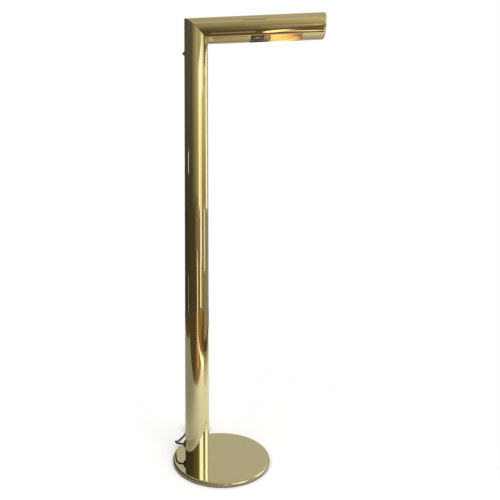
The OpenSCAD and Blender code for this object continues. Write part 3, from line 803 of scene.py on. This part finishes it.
@dataclass
class BrassTubes:
    """The upright tube and the arm, cut at 45 degrees where they meet, with a slot under the arm."""

    wall: float = 0.0012
    slot_start: float = 0.1445
    slot_length: float = 0.135
    slot_width: float = 0.035
    slot_round: float = 0.0003
    seam: float = 0.0003
    hold: float = 0.0012
    cap_edge: float = 0.005
    cap_steps: int = 14
    cap_wall: float = 0.002
    cap_spigot: float = 0.010
    fit_gap: float = 0.0001

    def __post_init__(self) -> None:
        """Takes the tubes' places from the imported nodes."""
        low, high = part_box("column_tube")
        self.radius: float = (high.y - low.y) / 2
        self.bore: float = self.radius - self.wall
        self.column_x: float = low.x + self.radius
        self.base: float = low.z
        self.arm_z: float = high.z - self.radius
        self.arm_end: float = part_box("arm_tube")[1].x
        self.cap_end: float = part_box("arm_end_cap")[1].x
        self.arm_axis: Vector = Vector((0, 0, self.arm_z))
        self.corner: Vector = Vector((self.column_x, 0, self.arm_z))
        self.mitre: Vector = Vector((1, 0, 1)).normalized()

    def build(self) -> None:
        """Makes the two tubes and the arm's end cap."""
        self.column()
        self.arm()
        self.end_cap()

    def tube(self, start: float, end: float, origin: Vector, axis: Vector, away: Cut) -> Mesh:
        """Makes a tube and cuts it at the mitre.

        Args:
            start: Where it starts along its axis.
            end: Where it ends.
            origin: The axis's zero.
            axis: Its direction.
            away: The side of the mitre that is taken away.

        Returns:
            The tube's mesh.
        """
        section = [(start, self.bore), (start, self.radius), (end, self.radius), (end, self.bore)]
        bm = turned(section, origin, axis)
        inwards = -1 if away is Cut.AHEAD else 1
        sliced(bm, self.corner + self.mitre * self.hold * inwards, self.mitre)
        sliced(bm, self.corner, self.mitre, away)
        softened(bm, self.outer(walled(bm), origin, axis), self.seam)
        return bm

    def outer(self, edges: Sequence[Edge], origin: Vector, axis: Vector) -> list[Edge]:
        """Picks the edges that lie on a tube's outer face.

        Args:
            edges: The edges.
            origin: A point on the tube's axis.
            axis: The axis's direction.

        Returns:
            Those whose ends are both nearer the outer face than the bore.
        """
        middle = (self.radius + self.bore) / 2
        return [
            edge for edge in edges if edge.is_valid and all(
                ((v.co - origin) - axis * (v.co - origin).dot(axis)).length > middle for v in edge.verts)
        ]

    def column(self) -> None:
        """Makes the upright tube."""
        bm = self.tube(self.base, self.arm_z + 2 * self.radius, Vector((self.column_x, 0, 0)), Z_AXIS, Cut.AHEAD)
        published(bm, "column", POLISHED_BRASS, "column_tube")

    def arm(self) -> None:
        """Makes the arm and opens the light slot in its underside."""
        bm = self.tube(self.column_x - 2 * self.radius, self.arm_end, self.arm_axis, X_AXIS, Cut.BEHIND)
        start = self.column_x + self.slot_start
        end, half = start + self.slot_length, self.slot_width / 2
        for x in (start - self.hold, start, end, end + self.hold):
            sliced(bm, Vector((x, 0, 0)), X_AXIS)
        for y in (-half - self.hold, -half, half, half + self.hold):
            sliced(bm, Vector((0, y, 0)), Y_AXIS)
        middles = [(face, face.calc_center_median()) for face in bm.faces]
        under = [f for f, at in middles if start < at.x < end and abs(at.y) < half and at.z < self.arm_z]
        bmesh.ops.delete(bm, geom=under, context="FACES")
        softened(bm, self.outer(walled(bm), self.arm_axis, X_AXIS), self.slot_round)
        arm = published(bm, "arm", POLISHED_BRASS, "arm_tube")
        arm.data.materials.append(TUBE_INSIDE.material())
        for face in arm.data.polygons:
            face.material_index = int((face.center - self.arm_axis).yz.length < self.bore + self.wall / 4)

    def end_cap(self) -> None:
        """Makes the cap that closes the arm, with its rounded edge and the spigot inside the tube."""
        spigot = self.bore - self.fit_gap
        inside = self.arm_end - self.cap_spigot
        bend = (self.cap_end - self.cap_edge, self.radius - self.cap_edge)
        section = [
            (self.cap_end - self.cap_wall, 0.0), (self.cap_end - self.cap_wall, spigot - self.cap_wall),
            (inside, spigot - self.cap_wall), (inside, spigot), (self.arm_end, spigot), (self.arm_end, self.radius),
            *arc(bend, self.cap_edge, 0, 90, self.cap_steps), (self.cap_end, self.radius / 3), (self.cap_end, 0.0),
        ]
        published(turned(section, self.arm_axis, X_AXIS, closed=False), "arm_cap", POLISHED_BRASS, "arm_end_cap")


@dataclass
class PushSwitch:
    """The push switch at the column's back: its ring nut, button and return spring."""

    nut_bore: float = 0.00413
    rim_tilt: float = 0.1
    rim_share: float = 0.9
    knurls_every: int = 2
    knurl_deep: float = 0.00012
    stem: float = 0.00275
    dome_steps: int = 8
    collar_thick: float = 0.0015
    collar_edge: float = 0.0003
    spring_wire: float = 0.0006
    wire_sides: int = 10
    spring_turns: int = 5
    steps_per_turn: int = 32
    spring_keep: float = 0.745
    joint: str = "button_push"

    def build(self) -> None:
        """Makes the visible pieces and the spring, and dresses the switch inside."""
        self.nut()
        self.button()
        self.spring()
        dressed(PHENOLIC, "switch_body")
        dressed(FIBRE_BOARD, "switch_back")
        dressed(CONTACT_BRASS, "switch_terminals")
        dressed(DARK_BRASS, "switch_barrel")

    def nut(self) -> None:
        """Makes the ring nut with a knurled rim."""
        low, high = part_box("switch_nut")
        axis_at = level_axis(low, high)
        radius, thick = (high.y - low.y) / 2, high.x - low.x
        section = [
            (high.x, self.nut_bore), (high.x, radius), (high.x - thick / 2, radius),
            (low.x, radius - thick / 2), (low.x, self.nut_bore),
        ]
        bm = turned(section, axis_at, X_AXIS, SMALL_STEPS)
        bm.normal_update()
        sides = [(face, face.calc_center_median() - axis_at) for face in bm.faces if abs(face.normal.x) < self.rim_tilt]
        rim = [(math.atan2(at.y, at.z), face) for face, at in sides if at.yz.length > self.rim_share * radius]
        rim = [face for _, face in sorted(rim, key=lambda pair: pair[0])]
        bmesh.ops.recalc_face_normals(bm, faces=bm.faces[:])
        bmesh.ops.inset_individual(
            bm, faces=rim[::self.knurls_every], thickness=self.knurl_deep / 2, depth=self.knurl_deep)
        published(bm, "ring_nut", DARK_BRASS, "switch_nut")

    def button(self) -> None:
        """Makes the push button: a domed stem with the collar that keeps it in."""
        low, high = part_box("switch_button")
        collar, dome = (high.y - low.y) / 2, self.stem / 2
        section = [
            (high.x, 0.0), (high.x, collar - self.collar_edge), (high.x - self.collar_edge, collar),
            (high.x - self.collar_thick, collar), (high.x - self.collar_thick, self.stem),
            *arc((low.x + dome, self.stem - dome), dome, 0, -90, self.dome_steps), (low.x, 0.0),
        ]
        bm = turned(section, level_axis(low, high), X_AXIS, SMALL_STEPS, closed=False)
        published(bm, "button", PHENOLIC, "switch_button", body=Body.BUTTON)

    def spring(self) -> None:
        """Makes the return spring."""
        low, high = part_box("switch_spring")
        axis_at = level_axis(low, high)
        wire, length = self.spring_wire, high.x - low.x - self.spring_wire
        radius = (high.z - low.z - wire) / 2
        steps = self.steps_per_turn * self.spring_turns
        bm = bmesh.new()
        ring = bmesh.ops.create_circle(bm, segments=self.wire_sides, radius=wire / 2, cap_ends=False)["verts"]
        stand = Matrix.Translation((high.x - wire / 2, 0, axis_at.z + radius)) @ Matrix.Rotation(math.pi / 2, 4, "X")
        bmesh.ops.transform(bm, matrix=stand, verts=ring)
        bmesh.ops.spin(
            bm, geom=bm.verts[:] + bm.edges[:], cent=axis_at, axis=X_AXIS, angle=FULL_TURN * self.spring_turns,
            steps=steps, dvec=-X_AXIS * length / steps)
        bmesh.ops.holes_fill(bm, edges=[e for e in bm.edges if e.is_boundary], sides=0)
        piece = published(bm, "return_spring", SPRING_STEEL, "switch_spring")
        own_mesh(piece)


@dataclass
class LampHolder:
    """The lamp holder in the arm and the tubular bulb in it."""

    edge: float = 0.0012
    edge_steps: int = 6
    body_floor: float = 0.005
    back_bore: float = 0.0049
    holder_bore: float = 0.0145
    seat_gap: float = 0.0001
    sleeve_wall: float = 0.0008
    sleeve_bead: float = 0.0005
    bead_arc: Point = (60, 120)
    neck_radius: float = 0.01255
    cap_grip: float = 0.008
    flare: float = 0.014
    flare_steps: int = 12
    dome_steps: int = 20
    glass_wall: float = 0.0009

    def __post_init__(self) -> None:
        """Takes the holder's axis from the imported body."""
        self.axis_at: Vector = level_axis(*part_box("holder_body"))

    def build(self) -> None:
        """Makes the pieces that the slot shows and dresses the rest."""
        self.body()
        self.sleeve()
        self.bulb()
        dressed(DARK_BRASS, "socket_plate")
        dressed(CONTACT_BRASS, "socket_nipple", "holder_screw_shell", "holder_contact", "holder_terminals", "bulb_cap")
        dressed(ZINC_STEEL, "nipple_nuts", "bulb_contact")
        dressed(PORCELAIN, "holder_insulator")
        dressed(STEM_GLASS, "bulb_stem")
        dressed(SPRING_STEEL, "bulb_filament")

    def body(self) -> None:
        """Makes the holder's dark moulded body, open at the front for its sleeve."""
        low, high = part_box("holder_body")
        sleeve_low, sleeve_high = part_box("holder_sleeve")
        back, floor, seat = low.x, low.x + self.body_floor, sleeve_low.x
        seat_radius = (sleeve_high.y - sleeve_low.y) / 2 + self.seat_gap
        bend = (high.y - low.y) / 2 - self.edge
        section = [
            (back, self.back_bore), *arc((back + self.edge, bend), self.edge, -90, 0, self.edge_steps),
            *arc((high.x - self.edge, bend), self.edge, 0, 90, self.edge_steps), (high.x, seat_radius),
            (seat, seat_radius), (seat, self.holder_bore), (floor, self.holder_bore), (floor, self.back_bore),
        ]
        published(turned(section, self.axis_at, X_AXIS), "holder_moulding", PHENOLIC, "holder_body")

    def sleeve(self) -> None:
        """Makes the brass sleeve with a rolled bead at its mouth."""
        low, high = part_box("holder_sleeve")
        outer = (high.y - low.y) / 2
        inner = outer - self.sleeve_wall
        mouth = high.x - self.sleeve_bead
        bead = arc((mouth, (outer + inner) / 2), self.sleeve_bead, *self.bead_arc, self.edge_steps)
        section = [(low.x, inner), (low.x, outer), (mouth, outer), *bead, (mouth, inner)]
        published(turned(section, self.axis_at, X_AXIS), "sleeve", CONTACT_BRASS, "holder_sleeve")

    def bulb(self) -> None:
        """Makes the bulb's glass: a neck that swells into a tube with a round end."""
        low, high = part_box("bulb_glass")
        radius = (high.y - low.y) / 2
        flare_start, round_at = low.x + self.cap_grip, high.x - radius
        section = []
        for shrink in (0.0, self.glass_wall):
            wall = [(low.x, self.neck_radius - shrink)]
            for i in range(self.flare_steps + 1):
                swell = (radius - self.neck_radius) * (1 - math.cos(math.pi * i / self.flare_steps)) / 2
                wall.append((flare_start + self.flare * i / self.flare_steps, self.neck_radius + swell - shrink))
            wall += arc((round_at, 0.0), radius - shrink, 0, 90, self.dome_steps)
            wall[-1] = (wall[-1][0], 0.0)
            section += wall if shrink == 0 else wall[::-1]
        published(turned(section, self.axis_at, X_AXIS), "bulb", FROSTED_GLASS, "bulb_glass", crease=60)


FLAT_SLANT: Point = (0.05, 0.065)
SHEET_SLANT: Point = (0.5, 0.593)
LOW_RAMP = 1.4
LEAST_STEPS = 4
DEGREES_PER_STEP = 3


@dataclass(frozen=True)
class Flat:
    """An upright panel that stands round the lamp, out of the camera's sight, for the brass to mirror.

    Its angles go from straight in front towards the arm's side, in degrees. One with no end colour has one colour.
    """

    name: str
    start: float
    end: float
    start_colour: Colour
    end_colour: Colour | None = None
    foot: float = 0.9
    top: float = 3.3
    low_share: float = 1.0
    distance: float = 2.45
    rise: float = 0.0
    seen: Seen = Seen.ANY
    slant: Point = FLAT_SLANT

    def ends(self) -> list[Vector]:
        """Gives the directions in which it starts and ends."""
        angles = (math.radians(self.start), math.radians(self.end))
        return [Vector((math.sin(a), -math.cos(a), 0)) for a in angles]

    def mesh(self) -> Mesh:
        """Makes its mesh.

        Returns:
            The mesh.
        """
        bm = bmesh.new()
        verts = [bm.verts.new(self.ends()[0] * self.distance + Z_AXIS * z) for z in (self.foot, self.top)]
        turn = math.radians(self.end) - math.radians(self.start)
        steps = max(LEAST_STEPS, int(self.end - self.start) // DEGREES_PER_STEP)
        bmesh.ops.spin(
            bm, geom=[*verts, bm.edges.new(verts)], cent=(0, 0, 0), axis=Z_AXIS, angle=turn, steps=steps,
            dvec=Z_AXIS * self.rise / steps)
        return bm

    def colour(self, net: Net) -> Socket:
        """Gives its colour, which changes from start to end and darkens towards its foot.

        Args:
            net: Its material's nodes.

        Returns:
            The colour's socket.
        """
        ends = self.ends()
        across = (ends[1] - ends[0]).normalized()
        share = net.along(across, [across.dot(e) * self.distance for e in ends])
        height = net.along(Z_AXIS, (self.foot, self.foot + LOW_RAMP), (self.low_share, 1))
        return net.mixed(height, (0, 0, 0), net.mixed(share, self.start_colour, self.end_colour or self.start_colour))


@dataclass(frozen=True)
class Sheet:
    """A level panel, whose colour changes from left to right between two places, or is one colour."""

    name: str
    middle: Place
    size: Point
    start_colour: Colour
    end_colour: Colour | None = None
    span: Point = (-0.5, 0.45)
    seen: Seen = Seen.ANY
    turn: float = 0.0
    rounded: bool = False
    slant: Point = SHEET_SLANT

    def mesh(self) -> Mesh:
        """Makes its mesh.

        Returns:
            The mesh.
        """
        bm = bmesh.new()
        if self.rounded:
            bmesh.ops.create_circle(bm, segments=SMALL_STEPS, radius=0.5, cap_ends=True)
        else:
            bmesh.ops.create_grid(bm, x_segments=1, y_segments=1, size=0.5)
        bmesh.ops.scale(bm, vec=(*self.size, 1), verts=bm.verts[:])
        place = Matrix.Translation(self.middle) @ Matrix.Rotation(math.radians(self.turn), 4, "Z")
        bmesh.ops.transform(bm, matrix=place, verts=bm.verts[:])
        return bm

    def colour(self, net: Net) -> Socket:
        """Gives its colour."""
        return net.mixed(net.along(X_AXIS, self.span), self.start_colour, self.end_colour or self.start_colour)


FLATS = (
    Flat("left_high", -150, -34, (0.1, 0.09, 0.08), (0.12, 0.11, 0.09), low_share=0.6),
    Flat("front_high", -34, 2, (0.18, 0.17, 0.12), (0.43, 0.385, 0.26), low_share=0.6),
    Flat("front_pale", 2, 28, (0.48, 0.42, 0.28), (0.76, 0.7, 0.42), low_share=0.65),
    Flat("light_front", 28, 41, (1.75, 1.62, 1.05), (1.6, 1.4, 0.9)),
    Flat("light_middle", 41, 58, (1.8, 1.6, 1.05), (1.7, 1.5, 0.95), low_share=0.65),
    Flat("light_middle_low", 39, 56, (1.3, 1.15, 0.95), (1.5, 1.3, 1.1), 0.42, 0.9, distance=2.4),
    Flat("light_foot", 37, 51, (1.5, 1.25, 0.9), (1.4, 1.15, 0.8), 0.03, 0.42, distance=2.4),
    Flat("light_high", 30, 57, (1.4, 1.45, 1.5), None, 1.87, 2.6, distance=2.44),
    Flat("shade", 22, 57, (0.42, 0.36, 0.19), (0.72, 0.63, 0.48), 2.12, 3.0, distance=2.43, rise=0.27),
    Flat("light_right", 57, 70, (1.3, 1.35, 1.35), (1.25, 1.3, 1.3), 1.93, 2.45, distance=2.43),
    Flat("right_high", 58, 109, (0.75, 0.72, 0.5), (0.8, 0.77, 0.56), low_share=0.45),
    Flat("light_side", 109, 127, (1.7, 1.5, 1.3), (1.8, 1.6, 1.45)),
    Flat("mirror_front", 28, 64, (1.85, 2.25, 3.0), None, 1.0, 1.7, distance=2.44, seen=Seen.SLANTED),
    Flat("mirror_side", 90, 120, (2.0, 2.5, 3.5), None, 1.0, 1.7, distance=2.44, seen=Seen.SLANTED),
    Flat("mirror_dim", 120, 150, (0.85, 1.0, 1.0), (0.8, 0.9, 0.9), 1.0, 1.7, distance=2.44, seen=Seen.SLANTED),
    Flat("back", 127, 210, (0.6, 0.59, 0.52), (0.58, 0.57, 0.5), 0.0),
    Flat("back_dark", 172.5, 177.2, (0.08, 0.065, 0.045), None, 0.0, 1.45, distance=2.42, seen=Seen.SQUARE),
    Flat("left_low", -150, -8, (0.05, 0.045, 0.035), (0.08, 0.065, 0.045), 0.0, 0.9),
    Flat("middle_low", -8, 10, (0.2, 0.17, 0.11), (0.36, 0.3, 0.19), 0.0, 0.9, 0.4),
    Flat("warm_low", 8, 16.5, (1.35, 1.1, 0.66), None, 0.0, 0.45, distance=2.4, seen=Seen.SQUARE),
    Flat("warm_rail", 5, 16.5, (0.5, 0.42, 0.33), (0.78, 0.67, 0.62), 0.42, 0.85, distance=2.42),
    Flat("front_low", 10, 58, (0.34, 0.28, 0.17), (0.38, 0.33, 0.22), 0.0, 0.9, 0.45),
    Flat("right_low", 58, 88, (0.3, 0.27, 0.2), None, 0.0, 0.9),
    Flat("light_low", 80, 96, (1.1, 1.05, 0.85), (0.9, 0.85, 0.66), 0.35, 0.9, distance=2.4),
    Flat("left_slit", -84, -79, (0.45, 0.43, 0.38), None, 0.0, 0.32, distance=2.4),
    Flat("left_gleam", -78, -74, (1.5, 1.4, 1.2), None, 1.19, 1.37, distance=2.4, seen=Seen.SQUARE),
    Flat("side_low", 88, 150, (0.3, 0.28, 0.22), (0.36, 0.33, 0.27), 0.0, 0.9, distance=2.44),
    Flat("screen", -14, 20, (0.13, 0.105, 0.07), (0.33, 0.27, 0.2), 0.54, 0.85, distance=1.25),
)
SHEETS = (
    Sheet("ceiling", (0, 0, 3.3), (5.2, 5.2), (0.48, 0.44, 0.36), (0.58, 0.52, 0.43)),
    Sheet("ceiling_front", (0, -2.1, 3.29), (5.2, 1.0), (0.62, 0.55, 0.42), (0.74, 0.64, 0.5)),
    Sheet("ceiling_bar", (0.17, -1.5, 3.28), (0.19, 0.34), (0.1, 0.08, 0.03)),
    Sheet("brown_floor", (0, 0, -0.016), (5.2, 5.2), (0.12, 0.085, 0.045), (0.16, 0.1, 0.055), (-0.2, 0.3)),
    Sheet("lit_floor", (0, 0.67, -0.014), (3.2, 1.86), (0.5, 0.42, 0.33), (0.82, 0.76, 0.63), (0.0, 0.45),
          Seen.SQUARE),
    Sheet("lit_leaf", (0.265, -0.91, -0.013), (0.135, 0.72), (2.05, 1.7, 1.2), (1.9, 1.5, 1.1), (0.18, 0.32),
          Seen.SQUARE, 10, True),
    Sheet("holder_card", (0.146, 0.315, -0.002), (0.042, 0.57), (8.5, 7.2, 5.2), seen=Seen.SQUARE),
    Sheet("dim_floor", (0.55, 0.95, -0.0132), (0.6, 1.1), (0.56, 0.52, 0.44), seen=Seen.SQUARE),
    Sheet("corner_card", (-0.026, 0.01, 1.06), (0.011, 0.06), (0.62, 0.55, 0.42), seen=Seen.SQUARE),
    Sheet("cap_floor", (1.4, -0.83, -0.0125), (1.6, 1.45), (1.2, 1.1, 0.75), seen=Seen.SQUARE),
    Sheet("back_strip", (0.181, 1.56, -0.0125), (0.138, 1.64), (0.1, 0.085, 0.06), seen=Seen.SQUARE),
    Sheet("dim_line", (0.01, -0.93, -0.0135), (0.26, 0.34), (0.34, 0.26, 0.18), (0.4, 0.3, 0.2), (-0.1, 0.1),
          Seen.SQUARE),
    Sheet("near_floor", (0, 0, -0.003), (0.42, 0.42), (0.34, 0.32, 0.29), (0.84, 0.82, 0.72), (-0.2, 0.05),
          rounded=True),
    Sheet("rim_floor", (0, 0, -0.0025), (0.29, 0.29), (0.42, 0.4, 0.36), (0.78, 0.75, 0.64), (-0.2, 0.2),
          rounded=True),
    Sheet("lit_line", (0.395, -0.6475, -0.013), (0.3, 0.125), (1.4, 1.1, 0.85), (2.1, 1.65, 1.4), (0.3, 0.5),
          Seen.SQUARE, 53),
    Sheet("wood_floor", (0, 0, -0.012), (5.2, 5.2), (0.1, 0.07, 0.045), (0.36, 0.21, 0.09), (-0.35, 0.15),
          Seen.SLANTED),
    Sheet("wood_side", (1.7, -0.7, -0.01), (1.4, 0.7), (0.17, 0.105, 0.05), seen=Seen.SLANTED),
    Sheet("wood_edge", (1.18, 0.45, -0.01), (0.36, 1.6), (0.12, 0.085, 0.06), seen=Seen.SLANTED),
    Sheet("grey_side", (1.98, 0.775, -0.01), (1.24, 2.25), (0.34, 0.3, 0.22), seen=Seen.SLANTED),
    Sheet("pale_floor", (-0.31, 0.48, -0.008), (2.42, 2.24), (0.34, 0.34, 0.34), (0.98, 0.97, 0.86), (-0.55, 0.32),
          Seen.SLANTED),
    Sheet("pale_side", (0.8, 0.4, -0.006), (0.5, 1.3), (0.8, 0.78, 0.67), (0.3, 0.26, 0.15), (0.55, 1.05),
          Seen.SLANTED),
    Sheet("sunny_floor", (0.54, -0.45, -0.006), (0.42, 0.36), (1.05, 1.03, 0.9), (1.3, 1.25, 1.05), (0.35, 0.7),
          Seen.SLANTED),
    Sheet("warm_floor", (0.2, -1.06, -0.006), (0.26, 0.5), (0.6, 0.36, 0.18), (0.75, 0.48, 0.26), (0.08, 0.3),
          Seen.SLANTED),
    Sheet("sunny_strip", (0.43, -1.19, -0.004), (0.86, 0.14), (1.45, 1.15, 0.78), (1.5, 1.25, 0.8),
          seen=Seen.SLANTED, turn=61),
    Sheet("sunny_patch", (0.715, -0.57, -0.004), (0.58, 0.18), (1.5, 1.4, 0.95), (1.6, 1.6, 1.3),
          seen=Seen.SLANTED, turn=71),
    Sheet("far_strip", (0.36, -2.0, -0.004), (0.2, 0.8), (1.35, 1.1, 0.66), seen=Seen.SLANTED),
)


@dataclass(frozen=True)
class SoftLamp:
    """A soft lamp that mirrors don't show."""

    name: str
    place: Place
    size: Point
    watts: float


@dataclass
class Studio:
    """The camera, a pale floor, soft light, and the panels that the brass mirrors."""

    camera_place: Place = (0.0586, -1.0438, 0.5597)
    lens: float = 28.37
    sensor: float = 36.0
    yaw: float = 4.11
    pitch: float = 0.42
    roll: float = -0.19
    shift: Point = (0.0713, -0.0118)
    floor_colour: Colour = (0.97, 0.97, 0.965)
    floor_radius: float = 1.4
    floor_drop: float = 0.0002
    floor_fade: Point = (0.2, 0.92)
    ambient_colour: Colour = (1, 0.99, 0.97)
    ambient: float = 0.9
    lamps: tuple[SoftLamp, ...] = (
        SoftLamp("key_light", (1.6, -1.9, 1.9), (1.3, 1.6), 16),
        SoftLamp("fill_light", (-1.2, -1.3, 2.3), (1.6, 1.6), 14),
    )
    lit_place: Place = (0, 0, 0.5)

    def camera(self) -> None:
        """Sets the camera at the photograph's viewing angle."""
        yaw, pitch, roll = (math.radians(a) for a in (self.yaw, self.pitch, self.roll))
        level = Vector((-math.sin(yaw), math.cos(yaw), 0))
        ahead = level * math.cos(pitch) + Z_AXIS * math.sin(pitch)
        up = Z_AXIS * math.cos(pitch) - level * math.sin(pitch)
        side = Vector((math.cos(yaw), math.sin(yaw), 0))
        right = side * math.cos(roll) + up * math.sin(roll)
        up = up * math.cos(roll) - side * math.sin(roll)
        data = bpy.data.cameras.new("camera")
        data.lens, data.sensor_width = self.lens, self.sensor
        data.shift_x, data.shift_y = self.shift
        camera = bpy.data.objects.new("camera", data)
        turn = Matrix((right, up, -ahead)).transposed().to_4x4()
        camera.matrix_world = Matrix.Translation(self.camera_place) @ turn
        bpy.context.scene.collection.objects.link(camera)
        bpy.context.scene.camera = camera

    def build(self) -> None:
        """Makes the floor, the world, the lamps and the panels."""
        bpy.context.scene.view_settings.view_transform = "Standard"
        self.floor()
        self.world()
        for lamp in self.lamps:
            self.light(lamp)
        for panel in (*FLATS, *SHEETS):
            self.mirrored(panel)

    def floor(self) -> None:
        """Makes the pale floor, which fades into the white background."""
        bm = bmesh.new()
        bmesh.ops.create_circle(bm, segments=SMALL_STEPS, radius=self.floor_radius, cap_ends=True)
        bmesh.ops.translate(bm, vec=(0, 0, -self.floor_drop), verts=bm.verts[:])
        material = bpy.data.materials.new("pale_floor_paper")
        material.use_nodes = True
        net = Net(material.node_tree)
        away = net.node("ShaderNodeVectorMath", {0: net.place()}, operation="LENGTH").outputs["Value"]
        net.join(net.tree.nodes["Principled BSDF"], {
            "Roughness": 0.9, "Specular IOR Level": 0.0, "Base Color": (*self.floor_colour, 1),
            "Alpha": net.ranged(away, self.floor_fade, (1, 0)),
        })
        self.staged(bm, "floor", material).visible_glossy = False

    def world(self) -> None:
        """Makes the background white and gives the room its even light."""
        world = bpy.data.worlds.new("studio")
        bpy.context.scene.world = world
        world.use_nodes = True
        net = Net(world.node_tree)
        net.tree.nodes.clear()
        path = net.node("ShaderNodeLightPath").outputs
        seen = net.maths("MAXIMUM", path["Is Camera Ray"], path["Is Glossy Ray"])
        seen = net.maths("MAXIMUM", seen, path["Is Transmission Ray"])
        even = net.node("ShaderNodeBackground", {"Color": (*self.ambient_colour, 1), "Strength": self.ambient})
        white = net.node("ShaderNodeBackground", {"Color": (1, 1, 1, 1), "Strength": 1.0})
        mix = net.node("ShaderNodeMixShader", {0: seen, 1: even.outputs[0], 2: white.outputs[0]})
        net.node("ShaderNodeOutputWorld", {"Surface": mix.outputs[0]})

    def light(self, lamp: SoftLamp) -> None:
        """Adds a soft lamp that faces the lit place.

        Args:
            lamp: The lamp.
        """
        data = bpy.data.lights.new(lamp.name, "AREA")
        data.shape, data.size, data.size_y, data.energy = "RECTANGLE", *lamp.size, lamp.watts
        made = bpy.data.objects.new(lamp.name, data)
        made.location = lamp.place
        made.rotation_euler = (Vector(self.lit_place) - Vector(lamp.place)).to_track_quat("-Z", "Y").to_euler()
        made.visible_glossy = False
        bpy.context.scene.collection.objects.link(made)

    def mirrored(self, panel: Flat | Sheet) -> None:
        """Leaves a glowing panel to mirrors and glass alone: it is neither seen directly nor gives light or shade.

        Args:
            panel: The panel, which is clear to the mirrors that don't show it.
        """
        material = bpy.data.materials.new(f"panel_{panel.name}")
        material.use_nodes = True
        net = Net(material.node_tree)
        net.tree.nodes.clear()
        surface = net.node("ShaderNodeEmission", {"Color": panel.colour(net), "Strength": 1.0}).outputs[0]
        if panel.seen is not Seen.ANY:
            facing = net.node("ShaderNodeLayerWeight", {"Blend": 0.5}).outputs["Facing"]
            share = net.ranged(facing, panel.slant, (0, 1) if panel.seen is Seen.SLANTED else (1, 0))
            clear = net.node("ShaderNodeBsdfTransparent").outputs[0]
            surface = net.node("ShaderNodeMixShader", {0: share, 1: clear, 2: surface}).outputs[0]
        net.node("ShaderNodeOutputMaterial", {"Surface": surface})
        made = self.staged(panel.mesh(), panel.name, material)
        made.visible_camera = made.visible_diffuse = made.visible_shadow = made.visible_volume_scatter = False

    def staged(self, bm: Mesh, name: str, material: bpy.types.Material) -> Piece:
        """Puts a mesh on the stage.

        Args:
            bm: The mesh, which is used up.
            name: The object's name.
            material: Its material.

        Returns:
            The object.
        """
        mesh = bpy.data.meshes.new(name)
        bm.to_mesh(mesh)
        bm.free()
        mesh.materials.append(material)
        made = bpy.data.objects.new(name, mesh)
        bpy.context.scene.collection.objects.link(made)
        return made


def main() -> None:
    """Builds the studio's camera, the lamp's sub-assemblies and the stage."""
    logging.basicConfig(level=logging.INFO, format="%(message)s")
    studio = Studio()
    studio.camera()
    for part in (Cord(), Foot(), BrassTubes(), PushSwitch(), LampHolder()):
        part.build()
    studio.build()


if __name__ == "__main__":
    main()
